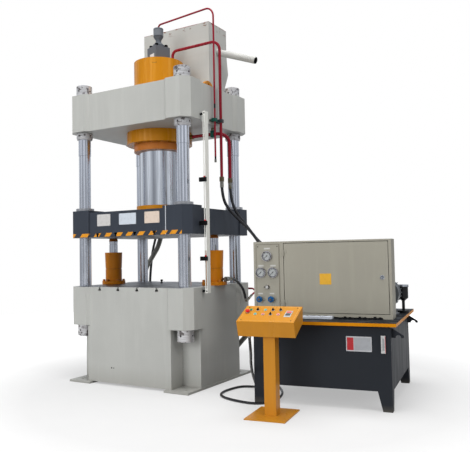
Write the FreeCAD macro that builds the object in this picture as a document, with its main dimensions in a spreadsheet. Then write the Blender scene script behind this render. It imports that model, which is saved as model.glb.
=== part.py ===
import FreeCAD, Part
import math
import os
import re
import Sketcher

# Four-column hydraulic press with its power unit and pedestal console.
# Millimetres.  X runs along the press front, Y to the rear, Z up from the floor,
# with the origin under the middle of the bed.

os.makedirs("parts", exist_ok=True)
doc = FreeCAD.newDocument("hydraulic_press")
Vector = FreeCAD.Vector

# ---------------------------------------------------------------- driving dimensions

SIZES = {
    # clearances
    "fit_gap": 0.05,  # radial, a shaft or spigot in its hole
    "seat_gap": 0.3,  # between faces that move past each other
    # plan of the bed, the crown and the slide
    "frame_width": 1650,
    "frame_depth": 1282,
    "corner_cut": 80,
    "boss_face": 182,
    "plate_recess": 38,
    # heights of the frame
    "foot_thickness": 23,
    "bed_base": 607,
    "bed_block": 420,
    "clear_height": 1736,
    "crown_height": 417,
    # columns and their nuts
    "column_diameter": 130,
    "column_inset_x": 142,
    "column_inset_y": 130,
    "column_stub": 8,
    "column_chamfer": 5,
    "seam_rise": 1475,
    "seam_width": 4,
    "seam_depth": 2,
    "column_collar": 138,
    "nut_diameter": 175,
    "nut_height": 127,
    "nut_chamfer": 6,
    "nut_hole": 20,
    "nut_hole_depth": 22,
    "ring_diameter": 178,
    "ring_height": 74,
    "ring_lip": 12,
    "ring_lip_step": 4,
    # bed details
    "foot_length": 299,
    "foot_side_margin": 12,
    "foot_front_margin": 47,
    "corner_notch_x": 224,
    "corner_notch_y": 208,
    "anchor_hole": 28,
    "anchor_inset_x": 94,
    "anchor_inset_y": 108,
    "tslot_pitch": 260,
    "tslot_neck": 22,
    "tslot_head": 40,
    "tslot_lip": 24,
    "tslot_pocket": 18,
    # slide
    "opening": 545,
    "slide_height": 298,
    "slide_step": 25,
    "slide_recess": 12,
    "slide_boss_x": 317,
    "slide_boss_y": 250,
    "bush_diameter": 160,
    "bush_flange": 200,
    "bush_flange_height": 32,
    "ram_ring_diameter": 545,
    "ram_ring_height": 77,
    # main cylinder
    "barrel_diameter": 570,
    "barrel_rise": 406,
    "barrel_head": 60,
    "bore_diameter": 490,
    "flange_diameter": 750,
    "flange_height": 138,
    "gland_diameter": 588,
    "gland_height": 81,
    "spigot_length": 106,
    "ram_diameter": 470,
    "piston_rise": 126,
    "piston_height": 90,
    # cap screws of the gland and of the buffers
    "screw_head": 30,
    "screw_head_height": 20,
    "screw_socket": 17,
    "screw_socket_depth": 10,
    "counterbore_gap": 1,
    "gland_screw_margin": 28,
    "gland_screws": 12,
    "buffer_screw_margin": 19,
    "buffer_screws": 6,
    # buffers on the bed
    "buffer_inset": 107,
    "buffer_flange": 273,
    "buffer_flange_height": 38,
    "buffer_diameter": 206,
    "buffer_waist": 192,
    "buffer_height": 377,
    "buffer_groove": 6,
    "buffer_groove_level": 180,
    "buffer_floor": 25,
    "buffer_port_rise": 64,
    "rod_diameter": 100,
    "rod_space": 140,
    "rod_cap": 30,
    "rod_cap_groove": 5,
    "striker_height": 35,
    "striker_diameter": 93,
    "striker_tip": 106,
    # prefill valve on the cylinder
    "valve_block": 190,
    "valve_block_height": 190,
    "valve_turn": -21.5,
    "valve_dome": 130,
    "valve_dome_height": 68,
    "valve_neck": 66,
    "valve_neck_height": 25,
    "valve_flare_height": 40,
    "valve_cap": 116,
    "valve_cap_height": 100,
    "valve_seam": 6,
    "valve_cap_chamfer": 6,
    "valve_screw": 38,
    "valve_screw_height": 26,
    "valve_screw_inset": 32,
    # prefill tank on the crown
    "prefill_length": 962,
    "prefill_front": 340,
    "prefill_foot": 320,
    "prefill_waist_rise": 217,
    "prefill_waist": 353,
    "prefill_belly_rise": 387,
    "prefill_belly": 433,
    "prefill_shoulder_rise": 627,
    "prefill_depth": 398,
    "prefill_height": 931,
    "prefill_stub": 150,
    "prefill_stub_rise": 297,
    "overflow_diameter": 80,
    "overflow_wall": 4,
    "overflow_inset": 196,
    "overflow_rise": 627,
    "overflow_length": 548,
    "overflow_fall": 20.3,
    "overflow_depth": 500,
    "hose_stub_end": 127,
    "hose_stub_top": 397,
    "hose_stub_y": 382,
    "return_stub": 70,
    "return_stub_x": 440,
    "rear_stub": 40,
    "rear_stub_x": 380,
    # lifting lugs on the crown
    "lug_span": 1300,
    "lug_radius": 100,
    "lug_thickness": 30,
    "lug_foot": 12,
    "lug_set_back": 32,
    "lug_eye_rise": 65,
    "lug_eye": 44,
    # pipes, their clamps and fittings
    "pilot_pipe": 20,
    "upper_pipe": 32,
    "lower_pipe": 38,
    "small_bend": 40,
    "tight_bend": 60,
    "wide_bend": 110,
    "riser_reach": 21,
    "riser_y": -20,
    "pilot_reach": 5,
    "pilot_y": -115,
    "lower_reach": 25,
    "lower_y": 150,
    "upper_port_x": 200,
    "lower_port_drop": 72,
    "lower_run_y": 46,
    "port_length": 60,
    "port_nut": 52,
    "pilot_top_rise": 43,
    "upper_top_rise": 116,
    "pilot_end_drop": 386,
    "upper_end_drop": 566,
    "lower_end_drop": 566,
    "pilot_cap": 24,
    "pilot_cap_height": 30,
    "hose_nut": 50,
    "hose_nut_height": 48,
    "hose_ferrule": 40,
    "hose_ferrule_height": 66,
    "elbow_diameter": 28,
    "buffer_pipe": 22,
    "buffer_elbow_reach": 142,
    "buffer_elbow_end": 49,
    "rear_elbow_inset": 90,
    "rear_elbow_reach": 79,
    "rear_elbow_drop": 284,
    "port_upper_y": 40,
    "port_upper_rise": 461,
    "port_lower_y": 130,
    "port_lower_rise": 422,
    "return_port": 76,
    "return_port_length": 40,
    "return_port_y": 1310,
    "return_port_drop": 175,
    "strut_thickness": 12,
    "strut_height": 20,
    "strut_rise": 26,
    "strut_margin": 30,
    "clamp_width": 44,
    "clamp_height": 36,
    "clamp_cover": 9,
    "hanger_inset": 125,
    "lower_turn_inset": 75,
    "hanger_block": 74,
    "hanger_width": 38,
    "hanger_plate": 14,
    # limit switches
    "rail_gap": 48,
    "rail_depth": 27,
    "rail_width": 62,
    "rail_sheet": 4,
    "rail_front": 218,
    "rail_low_drop": 60,
    "rail_top_rise": 74,
    "rail_slot": 10,
    "rail_slot_margin": 45,
    "rail_slot_inset": 9,
    "spacer_diameter": 25,
    "spacer_margin": 20,
    "switch_length": 77,
    "switch_depth": 30,
    "switch_height": 43,
    "switch_overhang": 12,
    "switch_cap": 20,
    "switch_cap_height": 12,
    "switch_cap_inset": 19,
    "switch_upper_rise": 1101,
    "switch_middle_rise": 654,
    "switch_lower_rise": 292,
    # power unit: its corner is the front right corner of the lid
    "unit_x": 2816,
    "unit_y": -451,
    "unit_yaw": 8.08,
    "lid_width": 1367,
    "lid_depth": 1427,
    "lid_thickness": 29,
    "lid_overhang": 53,
    "tank_height": 562,
    "leg_height": 173,
    "leg_width": 124,
    "leg_foot": 82,
    "hook_reach": 102,
    "hook_thickness": 20,
    "hook_height": 83,
    "hook_tip": 19,
    "hook_drop": 21,
    "hook_eye": 24,
    "hook_margin": 64,
    "level_width": 39,
    "level_height": 152,
    "level_depth": 18,
    "level_inset": 97,
    "level_drop": 80,
    # cabinet
    "cabinet_width": 1332,
    "cabinet_depth": 210,
    "cabinet_height": 721,
    "cabinet_wall": 4,
    "cabinet_foot": 12,
    "cabinet_foot_length": 90,
    "cabinet_overhang": 31,
    "cabinet_inset": 66,
    "cabinet_front": 324,
    "panel_left_margin": 24,
    "panel_width": 244,
    "panel_depth": 4,
    "door_height": 664,
    "door_thickness": 18,
    "door_gap": 5,
    "door_right_margin": 30,
    "door_panel_gap": 44,
    "door_top_margin": 22,
    "hinge_radius": 7,
    "hinge_pin": 3,
    "hinge_height": 60,
    "hinge_setback": 8,
    "hinge_leaf": 28,
    "hinge_leaf_sheet": 3,
    "hinge_inset": 91,
    "lock_diameter": 28,
    "lock_head": 8,
    "lock_shaft": 16,
    "lock_inset": 56,
    "lock_rise": 334,
    "lock_cam_length": 82,
    "lock_cam_width": 18,
    "lock_cam_sheet": 4,
    # gauges and valves on the panel
    "gauge_top_x": 118,
    "gauge_top_rise": 545,
    "gauge_left_x": 53,
    "gauge_right_x": 177,
    "gauge_low_rise": 385,
    "knob_rise": 244,
    "wheel_left_x": 42,
    "wheel_right_x": 161,
    "wheel_rise": 126,
    "gauge_diameter": 100,
    "gauge_bezel": 24,
    "gauge_case": 90,
    "gauge_case_depth": 46,
    "gauge_glass_drop": 6,
    "knob_diameter": 34,
    "knob_height": 26,
    "knob_nub": 9,
    "handwheel_diameter": 62,
    "handwheel_rim": 14,
    "handwheel_hub": 24,
    "handwheel_stand": 30,
    "stem_diameter": 10,
    "stem_depth": 34,
    "stem_collar": 18,
    "stem_collar_height": 6,
    # motor, pump, manifold and filter
    "motor_diameter": 274,
    "motor_length": 290,
    "motor_inset": 185,
    "motor_front": 600,
    "motor_axis_rise": 211,
    "motor_foot_width": 216,
    "motor_foot_height": 14,
    "motor_fan_diameter": 280,
    "motor_fan_length": 70,
    "motor_fins": 24,
    "motor_fin_height": 12,
    "motor_fin_sheet": 4,
    "bell_diameter": 150,
    "bell_length": 90,
    "pump_diameter": 104,
    "pump_length": 150,
    "pump_pipe": 40,
    "manifold_width": 200,
    "manifold_depth": 180,
    "manifold_height": 500,
    "manifold_left": 367,
    "manifold_front": 610,
    "manifold_valve": 46,
    "manifold_valve_length": 120,
    "filter_diameter": 98,
    "filter_height": 139,
    "filter_inset": 53,
    "filter_rear": 1000,
    "filter_stem": 29,
    "filter_stem_height": 92,
    "filter_head_height": 22,
    "filter_base": 118,
    "filter_base_height": 26,
    # console
    "console_x": 1856,
    "console_y": -926,
    "console_width": 514,
    "console_depth": 274,
    "console_front_low": 676,
    "console_front_high": 807,
    "console_rear_low": 779,
    "console_rear_high": 915,
    "console_undercut": 42,
    "stand_post": 105,
    "stand_post_x": 8,
    "stand_plate_width": 360,
    "stand_plate_depth": 435,
    "stand_plate": 10,
    "control_pitch": 70,
    "control_left": -127,
    "control_rear": 62,
    "control_front": -12,
    "control_middle": 20,
    "stop_offset": 80,
    "green_offset": 62,
    "collar_diameter": 30,
    "collar_height": 4,
    "button_diameter": 22,
    "button_height": 6,
    "button_travel": 4,
    "button_stem": 26,
    "stop_diameter": 40,
    "stop_height": 14,
    "stop_stand": 8,
    "selector_skirt": 24,
    "selector_grip": 7,
    "selector_height": 18,
    "gland_fitting": 32,
    "gland_fitting_height": 26,
    "console_gland_x": 166,
    "console_gland_y": 60,
    "console_gland_drop": 16,
    "cabinet_gland_x": 107,
    "cabinet_gland_rise": 124,
    # hoses and the cable
    "hose_diameter": 32,
    "buffer_hose": 30,
    "return_hose": 60,
    "cable_diameter": 25,
}

# Places and heights that follow from the driving dimensions.
PLACES = {
    "half_width": "frame_width / 2",
    "half_depth": "frame_depth / 2",
    "boss_x": "frame_width / 2 - corner_cut - boss_face",
    "boss_y": "frame_depth / 2 - corner_cut - boss_face",
    "plate_x": "frame_width / 2 - plate_recess",
    "plate_y": "frame_depth / 2 - plate_recess",
    "column_x": "frame_width / 2 - column_inset_x",
    "column_y": "frame_depth / 2 - column_inset_y",
    "bed_low": "foot_thickness + bed_base",
    "bed_top": "bed_low + bed_block",
    "crown_low": "bed_top + clear_height",
    "crown_top": "crown_low + crown_height",
    "column_low": "bed_low - nut_height - column_stub",
    "column_top": "crown_top + nut_height + column_stub",
    "barrel_top": "crown_top + barrel_rise",
    "flange_low": "crown_low - flange_height",
    "gland_low": "flange_low - gland_height",
    "spigot_top": "flange_low + spigot_length",
    "slide_low": "bed_top + opening",
    "slide_top": "slide_low + slide_height",
    "slide_mid": "slide_top - slide_step",
    "piston_low": "spigot_top + piston_rise",
    "buffer_x": "frame_width / 2 - buffer_inset",
    "buffer_top": "bed_top + buffer_height",
    "rod_low": "bed_top + buffer_floor + rod_space",
    "rod_top": "slide_low - striker_height",
    "hose_end_drop": "hose_nut_height + hose_ferrule_height",
    "riser_x": "half_width + riser_reach",
    "pilot_x": "half_width + pilot_reach",
    "lower_x": "half_width + lower_reach",
    "lower_turn_x": "half_width - lower_turn_inset",
    "hanger_x": "half_width - hanger_inset",
    "rear_elbow_x": "half_width - rear_elbow_inset",
    "rail_x": "half_width + rail_gap",
    "rail_y": "half_depth - rail_front",
    "lid_low": "leg_height + tank_height",
    "lid_top": "lid_low + lid_thickness",
    "cabinet_low": "lid_top + cabinet_foot",
    "cabinet_top": "cabinet_low + cabinet_height",
    "door_top": "cabinet_top - door_top_margin",
    "door_low": "door_top - door_height",
    "door_right": "cabinet_inset + door_right_margin",
    "door_left": "cabinet_inset + cabinet_width - panel_left_margin - panel_width - door_panel_gap",
    "panel_left": "cabinet_inset + cabinet_width - panel_left_margin",
    "motor_axis": "lid_top + motor_axis_rise",
}

dims = doc.addObject("Spreadsheet::Sheet", "dims")
for row, (alias, value) in enumerate(list(SIZES.items()) + list(PLACES.items()), start=1):
    dims.set("A%d" % row, alias)
    dims.set("B%d" % row, str(value) if alias in SIZES else "=" + value)
    dims.setAlias("B%d" % row, alias)
doc.recompute()

# ---------------------------------------------------------------- modelling helpers

NAMES = re.compile(r"\b(%s)\b" % "|".join(sorted(list(SIZES) + list(PLACES), key=len, reverse=True)))
TURNS = {
    "x": FreeCAD.Rotation(Vector(0, 1, 0), 90),
    "y": FreeCAD.Rotation(Vector(1, 0, 0), -90),
    "z": FreeCAD.Rotation(),
}
nodes = []


def formula(text):
    """The text with every sheet name written as a reference to the sheet."""
    return NAMES.sub(r"dims.\1", str(text))


def num(text):
    """The present value of a formula."""
    return float(dims.evalExpression(str(text)))


def link(thing, path, text):
    """Ties a property to a formula."""
    thing.setExpression(path, formula(text))


def place(thing, x="0", y="0", z="0"):
    """Ties the position of an object to three formulas."""
    for axis, text in zip("xyz", (x, y, z)):
        link(thing, "Placement.Base." + axis, text)
    return thing


def node(thing, label=None):
    """Registers an object as a sub-part that is written to its own file."""
    if label:
        thing.Label = label
    nodes.append(thing)
    return thing


def on_unit(thing, label=None):
    """A sub-part of the power unit, set in the unit's own frame."""
    place(thing, "unit_x", "unit_y")
    link(thing, "Placement.Rotation.Angle", "unit_yaw")
    return node(thing, label)


def on_console(thing, label=None):
    """A sub-part of the console, set in the console's own frame."""
    place(thing, "console_x", "console_y")
    link(thing, "Placement.Rotation.Angle", "unit_yaw")
    return node(thing, label)


def box(label, x, y, z):
    """A box between two values along each axis, each given as a pair of formulas."""
    solid = doc.addObject("Part::Box", label)
    for side, (low, high) in zip(("Length", "Width", "Height"), (x, y, z)):
        link(solid, side, "(%s) - (%s)" % (high, low))
    return place(solid, x[0], y[0], z[0])


def cylinder(label, diameter, height, x="0", y="0", z="0", axis="z"):
    """A round bar that starts at (x, y, z) and runs along an axis."""
    solid = doc.addObject("Part::Cylinder", label)
    solid.Placement = FreeCAD.Placement(Vector(), TURNS[axis])
    link(solid, "Radius", "(%s) / 2" % diameter)
    link(solid, "Height", height)
    return place(solid, x, y, z)


def hexagon(label, across_corners, height, x="0", y="0", z="0", axis="z"):
    """A hexagonal bar that starts at (x, y, z) and runs along an axis."""
    solid = doc.addObject("Part::Prism", label)
    solid.Placement = FreeCAD.Placement(Vector(), TURNS[axis])
    solid.Polygon = 6
    link(solid, "Circumradius", "(%s) / 2" % across_corners)
    link(solid, "Height", height)
    return place(solid, x, y, z)


def cut(label, base, *tools):
    """The base less its tools."""
    solid = doc.addObject("Part::Cut", label)
    solid.Base = base
    solid.Tool = tools[0] if len(tools) == 1 else group(label + "_tools", *tools)
    return solid


def fuse(label, *solids):
    """The union of the solids."""
    solid = doc.addObject("Part::MultiFuse", label)
    solid.Shapes = list(solids)
    return solid


def group(label, *things):
    """Separate solids kept together."""
    solid = doc.addObject("Part::Compound", label)
    solid.Links = list(things)
    return solid


def mirror(label, source, axis="x"):
    """The source mirrored across the plane normal to an axis through the origin."""
    solid = doc.addObject("Part::Mirroring", label)
    solid.Source = source
    solid.Normal = Vector(1, 0, 0) if axis == "x" else Vector(0, 1, 0)
    return solid


def pair(label, source, axis="x"):
    """The source and its mirror image."""
    return group(label, source, mirror(label + "_mirror", source, axis))


def at_corners(label, source):
    """The source at all four corners of the press."""
    return pair(label, pair(label + "_side", source, "y"), "x")


def new_sketch(body, label, role, offset="0"):
    """A sketch on one of the body's own planes, moved along the plane's normal."""
    sketch = body.newObject("Sketcher::SketchObject", label)
    plane = [item for item in body.Origin.OriginFeatures if item.Role == role][0]
    sketch.AttachmentSupport = (plane, [""])
    sketch.MapMode = "FlatFace"
    link(sketch, "AttachmentOffset.Base.z", offset)
    return sketch


def tie(sketch, kind, geometry, point, text):
    """Holds a sketch point at a formula's distance from the sketch origin."""
    rule = Sketcher.Constraint(kind, -1, 1, geometry, point, num(text))
    index = sketch.addConstraint(rule)
    sketch.setExpression("Constraints[%d]" % index, formula(text))


def outline(sketch, points):
    """A closed outline of straight edges through points given as formulas."""
    first = sketch.GeometryCount
    corners = [Vector(num(x), num(y), 0) for x, y in points]
    count = len(corners)
    edges = [Part.LineSegment(corners[i], corners[(i + 1) % count]) for i in range(count)]
    sketch.addGeometry(edges)
    for i in range(count):
        follower = first + (i + 1) % count
        sketch.addConstraint(Sketcher.Constraint("Coincident", first + i, 2, follower, 1))
    for i, (x, y) in enumerate(points):
        tie(sketch, "DistanceX", first + i, 1, x)
        tie(sketch, "DistanceY", first + i, 1, y)


def circle(sketch, x, y, diameter):
    """A circle whose centre and diameter are formulas."""
    centre = Vector(num(x), num(y), 0)
    curve = Part.Circle(centre, Vector(0, 0, 1), num(diameter) / 2)
    index = sketch.addGeometry(curve)
    rule = sketch.addConstraint(Sketcher.Constraint("Diameter", index, num(diameter)))
    sketch.setExpression("Constraints[%d]" % rule, formula(diameter))
    tie(sketch, "DistanceX", index, 3, x)
    tie(sketch, "DistanceY", index, 3, y)


def pad(body, sketch, length, both_ways=False):
    """Adds the sketch's area, along its normal or to both sides of its plane."""
    feature = body.newObject("PartDesign::Pad", sketch.Label + "_pad")
    feature.Profile = sketch
    feature.SideType = "Symmetric" if both_ways else "One side"
    link(feature, "Length", length)
    return feature


def pocket(body, sketch, length, both_ways=False, reverse=False):
    """Takes the sketch's area away, against its normal or to both sides."""
    feature = body.newObject("PartDesign::Pocket", sketch.Label + "_pocket")
    feature.Profile = sketch
    feature.SideType = "Symmetric" if both_ways else "One side"
    feature.Reversed = reverse
    link(feature, "Length", length)
    return feature


def turned(label, profile):
    """A turned piece: radii and heights of half its section, about the Z axis."""
    body = doc.addObject("PartDesign::Body", label)
    sketch = new_sketch(body, label + "_section", "XZ_Plane")
    outline(sketch, profile)
    feature = body.newObject("PartDesign::Revolution", label + "_turning")
    feature.Profile = sketch
    feature.ReferenceAxis = (sketch, ["V_Axis"])
    feature.Angle = 360
    return body


def plate(label, role, points, low, thickness):
    """A plate of one outline, from a level along its plane's normal."""
    body = doc.addObject("PartDesign::Body", label)
    sketch = new_sketch(body, label + "_outline", role, low)
    outline(sketch, points)
    pad(body, sketch, thickness)
    return body


def four_way(points):
    """The front right corner's points, front to side, carried round all four corners."""
    rear = [(x, "-(%s)" % y) for x, y in reversed(points)]
    right = points + rear
    return right + [("-(%s)" % x, "-(%s)" % y) for x, y in right]


def route(points, bends=None):
    """Straight runs joined by tangent arcs, and the least radius among the arcs."""
    runs = [(b - a).Length for a, b in zip(points, points[1:])]
    edges, start, least = [], points[0], None
    for i in range(1, len(points) - 1):
        into = (points[i] - points[i - 1]).normalize()
        away = (points[i + 1] - points[i]).normalize()
        half = into.getAngle(away) / 2
        radius = 0.45 * min(runs[i - 1], runs[i]) / math.tan(half)
        if bends:
            radius = num(bends[i - 1])
        trim = radius * math.tan(half)
        first, last = points[i] - into * trim, points[i] + away * trim
        to_centre = (away - into).normalize() * (radius / math.cos(half))
        middle = points[i] + to_centre - Vector(to_centre).normalize() * radius
        edges.append(Part.LineSegment(start, first).toShape())
        edges.append(Part.Arc(first, middle, last).toShape())
        start, least = last, min(radius, least or radius)
    edges.append(Part.LineSegment(start, points[-1]).toShape())
    return Part.Wire(edges), least


def spot(x, y, z):
    """The present place of three formulas."""
    return Vector(num(x), num(y), num(z))


def tube(label, size, points, bends=None):
    """A round tube along a route, with its volume compared with section times length."""
    wire, least = route(points, bends)
    diameter = num(size)
    heading = (wire.Edges[0].valueAt(1) - wire.Edges[0].valueAt(0)).normalize()
    ring = Part.Circle(points[0], heading, diameter / 2).toShape()
    solid = wire.makePipeShell([Part.Wire([ring])], True, False)
    swept = math.pi * diameter ** 2 / 4 * wire.Length
    print("%s: radius %.1f, least bend %.0f, length %.0f, volume ratio %.4f"
          % (label, diameter / 2, least, wire.Length, solid.Volume / swept))
    feature = doc.addObject("Part::Feature", label)
    feature.Shape = solid
    return feature


# ---------------------------------------------------------------- press frame

CORNER_PLAN = [
    ("boss_x - plate_recess", "-plate_y"),
    ("boss_x", "-half_depth"),
    ("half_width - corner_cut", "-half_depth"),
    ("half_width", "-half_depth + corner_cut"),
    ("half_width", "-boss_y"),
    ("plate_x", "-boss_y + plate_recess"),
]


def tslot_outline(sketch, centre, face, depth_sign):
    """A T-slot in cross section, opening through a face of the bed or the slide."""
    shape = [("-tslot_neck / 2", "0"), ("-tslot_neck / 2", "tslot_lip"),
             ("-tslot_head / 2", "tslot_lip"), ("-tslot_head / 2", "tslot_lip + tslot_pocket"),
             ("tslot_head / 2", "tslot_lip + tslot_pocket"), ("tslot_head / 2", "tslot_lip"),
             ("tslot_neck / 2", "tslot_lip"), ("tslot_neck / 2", "0")]
    outline(sketch, [("%s + %s" % (centre, x), "%s %s (%s)" % (face, depth_sign, z))
                     for x, z in shape])


def cut_tslots(body, face, depth_sign):
    """Four T-slots from front to rear in one face."""
    sketch = new_sketch(body, body.Label + "_tslots", "XZ_Plane")
    for place_in_row in (-1.5, -0.5, 0.5, 1.5):
        tslot_outline(sketch, "(%s * tslot_pitch)" % place_in_row, face, depth_sign)
    pocket(body, sketch, "frame_depth * 1.1", both_ways=True)


def corner_circles(sketch, x, y, diameter):
    """A circle at each of the four corners."""
    for side in ("", "-"):
        for end in ("", "-"):
            circle(sketch, side + x, end + y, diameter)


def make_bed():
    """The bed: a block with four corner bosses on a notched base with foot plates."""
    body = doc.addObject("PartDesign::Body", "bed")
    base = new_sketch(body, "bed_base", "XY_Plane", "foot_thickness")
    outline(base, four_way([
        ("plate_x - corner_notch_x", "-plate_y"),
        ("plate_x - corner_notch_x", "-plate_y + corner_notch_y"),
        ("plate_x", "-plate_y + corner_notch_y")]))
    pad(body, base, "bed_base")
    block = new_sketch(body, "bed_block", "XY_Plane", "bed_low")
    outline(block, four_way(CORNER_PLAN))
    pad(body, block, "bed_block")
    feet = new_sketch(body, "bed_feet", "XY_Plane")
    outer = "plate_x + foot_side_margin"
    reach = "(plate_y + foot_front_margin)"
    for side in ("", "-"):
        outline(feet, [(side + "(%s)" % outer, "-" + reach), (side + "(%s)" % outer, reach),
                       (side + "(%s - foot_length)" % outer, reach),
                       (side + "(%s - foot_length)" % outer, "-" + reach)])
    pad(body, feet, "foot_thickness")
    cut_tslots(body, "bed_top", "-")
    holes = new_sketch(body, "bed_column_holes", "XY_Plane", "bed_top")
    corner_circles(holes, "column_x", "column_y", "column_diameter + 2 * fit_gap")
    pocket(body, holes, "bed_block")
    anchors = new_sketch(body, "bed_anchor_holes", "XY_Plane", "foot_thickness")
    corner_circles(anchors, "(%s - anchor_inset_x)" % outer, "(%s - anchor_inset_y)" % reach,
                   "anchor_hole")
    pocket(body, anchors, "foot_thickness")
    node(body)


def make_crown():
    """The crown: the bed's plan again, with the cylinder through its middle."""
    body = doc.addObject("PartDesign::Body", "crown")
    block = new_sketch(body, "crown_block", "XY_Plane", "crown_low")
    outline(block, four_way(CORNER_PLAN))
    pad(body, block, "crown_height")
    holes = new_sketch(body, "crown_holes", "XY_Plane", "crown_top")
    corner_circles(holes, "column_x", "column_y", "column_diameter + 2 * fit_gap")
    circle(holes, "0", "0", "barrel_diameter + 2 * fit_gap")
    pocket(body, holes, "crown_height")
    node(body)


def make_columns():
    """Four turned columns, each with a collar that ends in a seam below the crown."""
    radius = "column_diameter / 2"
    seam = "bed_top + seam_rise"
    column = turned("column", [
        ("0", "column_low"), (radius + " - column_chamfer", "column_low"),
        (radius, "column_low + column_chamfer"), (radius, seam),
        (radius + " - seam_depth", seam), (radius + " - seam_depth", seam + " + seam_width"),
        ("column_collar / 2", seam + " + seam_width"),
        ("column_collar / 2", "crown_low - ring_height"), (radius, "crown_low - ring_height"),
        (radius, "column_top - column_chamfer"),
        (radius + " - column_chamfer", "column_top"), ("0", "column_top")])
    place(column, "column_x", "column_y")
    node(at_corners("columns", column))


def round_nut(label, diameter, height, low, chamfer):
    """A round nut on a column, with four tommy-bar holes in its rim."""
    inner = "column_diameter / 2 + fit_gap"
    outer = "(%s) / 2" % diameter
    blank = turned(label + "_blank", [
        (inner, low), ("%s - %s" % (outer, chamfer), low), (outer, "%s + %s" % (low, chamfer)),
        (outer, "%s + %s - %s" % (low, height, chamfer)),
        ("%s - %s" % (outer, chamfer), "%s + %s" % (low, height)),
        (inner, "%s + %s" % (low, height))])
    middle = "%s + %s / 2" % (low, height)
    holes = []
    for name, axis, sign in (("east", "x", ""), ("west", "x", "-"), ("north", "y", ""),
                             ("south", "y", "-")):
        start = "%s(%s - nut_hole_depth)" % (sign, outer)
        length = "nut_hole_depth * 2"
        if sign == "-":
            start += " - " + length
        spot = {"x": (start, "0", middle), "y": ("0", start, middle)}[axis]
        holes.append(cylinder("%s_hole_%s" % (label, name), "nut_hole", length, *spot, axis=axis))
    piece = cut(label, blank, *holes)
    return place(piece, "column_x", "column_y")


def make_nuts():
    """Nuts below the bed and above the crown on each column, and rings under the crown."""
    lower = round_nut("lower_nut", "nut_diameter", "nut_height", "bed_low - nut_height",
                      "nut_chamfer")
    upper = round_nut("upper_nut", "nut_diameter", "nut_height", "crown_top", "nut_chamfer")
    ring = round_nut("lock_ring", "ring_diameter", "(ring_height - ring_lip)",
                     "(crown_low - ring_height + ring_lip)", "nut_chamfer / 2")
    inner, outer = "column_diameter / 2 + fit_gap", "ring_diameter / 2 - ring_lip_step"
    lip = turned("ring_lip_body", [
        (inner, "crown_low - ring_height"), (outer, "crown_low - ring_height"),
        (outer, "crown_low - ring_height + ring_lip"),
        (inner, "crown_low - ring_height + ring_lip")])
    place(lip, "column_x", "column_y")
    node(at_corners("column_nuts", group("nut_set", lower, upper, fuse("ring_lipped", ring, lip))))


def make_lugs():
    """Two half-round lifting lugs across the crown's ends, each with its eye."""
    lugs = []
    for side, sign in (("right", ""), ("left", "-")):
        face = "%slug_span / 2 - lug_thickness / 2" % sign
        width = ("lug_set_back - lug_radius", "lug_set_back + lug_radius")
        foot = box("lug_foot_" + side, (face, face + " + lug_thickness"), width,
                   ("crown_top", "crown_top + lug_foot"))
        disc = cylinder("lug_disc_" + side, "lug_radius * 2", "lug_thickness", face,
                        "lug_set_back", "crown_top + lug_foot", "x")
        below = box("lug_below_" + side, (face, face + " + lug_thickness"), width,
                    ("crown_top - lug_radius", "crown_top"))
        eye = cylinder("lug_eye_" + side, "lug_eye", "lug_thickness", face, "lug_set_back",
                       "crown_top + lug_eye_rise", "x")
        lugs.append(cut("lug_" + side, fuse("lug_blank_" + side, foot, disc), below, eye))
    node(group("lifting_lugs", *lugs))


# ---------------------------------------------------------------- main cylinder and slide


def make_cylinder():
    """The barrel with its flange under the crown, closed at the top."""
    bore, outer, flange = "bore_diameter / 2", "barrel_diameter / 2", "flange_diameter / 2"
    node(turned("main_cylinder", [
        (bore, "flange_low"), (flange, "flange_low"), (flange, "crown_low"),
        (outer, "crown_low"), (outer, "barrel_top"), ("0", "barrel_top"),
        ("0", "barrel_top - barrel_head"), (bore, "barrel_top - barrel_head")]))
    inner = "ram_diameter / 2 + fit_gap"
    spigot = "bore_diameter / 2 - fit_gap"
    gland = turned("cylinder_gland", [
        (inner, "gland_low"), ("gland_diameter / 2", "gland_low"),
        ("gland_diameter / 2", "flange_low"), (spigot, "flange_low"),
        (spigot, "spigot_top"), (inner, "spigot_top")])
    seats = new_sketch(gland, "gland_seats", "XY_Plane", "gland_low")
    circle(seats, "gland_diameter / 2 - gland_screw_margin", "0",
           "screw_head + 2 * counterbore_gap")
    seat = pocket(gland, seats, "screw_head_height", reverse=True)
    ring_of(gland, seats, [seat], "gland_screws")
    node(gland)


def ring_of(body, sketch, features, count):
    """Repeats features round the body's axis, with the first one turned by half a step."""
    ring = body.newObject("PartDesign::PolarPattern", sketch.Label + "_ring")
    ring.Originals = features
    ring.Axis = (sketch, ["N_Axis"])
    ring.Angle = 360
    link(ring, "Occurrences", count)
    body.Tip = ring
    link(body, "Placement.Rotation.Angle", "180 / " + count)


def screw_ring(label, x, seat, reach, count, down):
    """A ring of socket cap screws: heads on the seat, below it or above it."""
    body = doc.addObject("PartDesign::Body", label)
    heads = new_sketch(body, label + "_heads", "XY_Plane",
                       seat + (" - screw_head_height" if down else ""))
    circle(heads, reach, "0", "screw_head")
    head = pad(body, heads, "screw_head_height")
    sockets = new_sketch(body, label + "_sockets", "XY_Plane",
                         "%s %s screw_head_height" % (seat, "-" if down else "+"))
    circle(sockets, reach, "0", "screw_socket")
    socket = pocket(body, sockets, "screw_socket_depth", reverse=down)
    ring_of(body, heads, [head, socket], count)
    return place(body, x)


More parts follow.
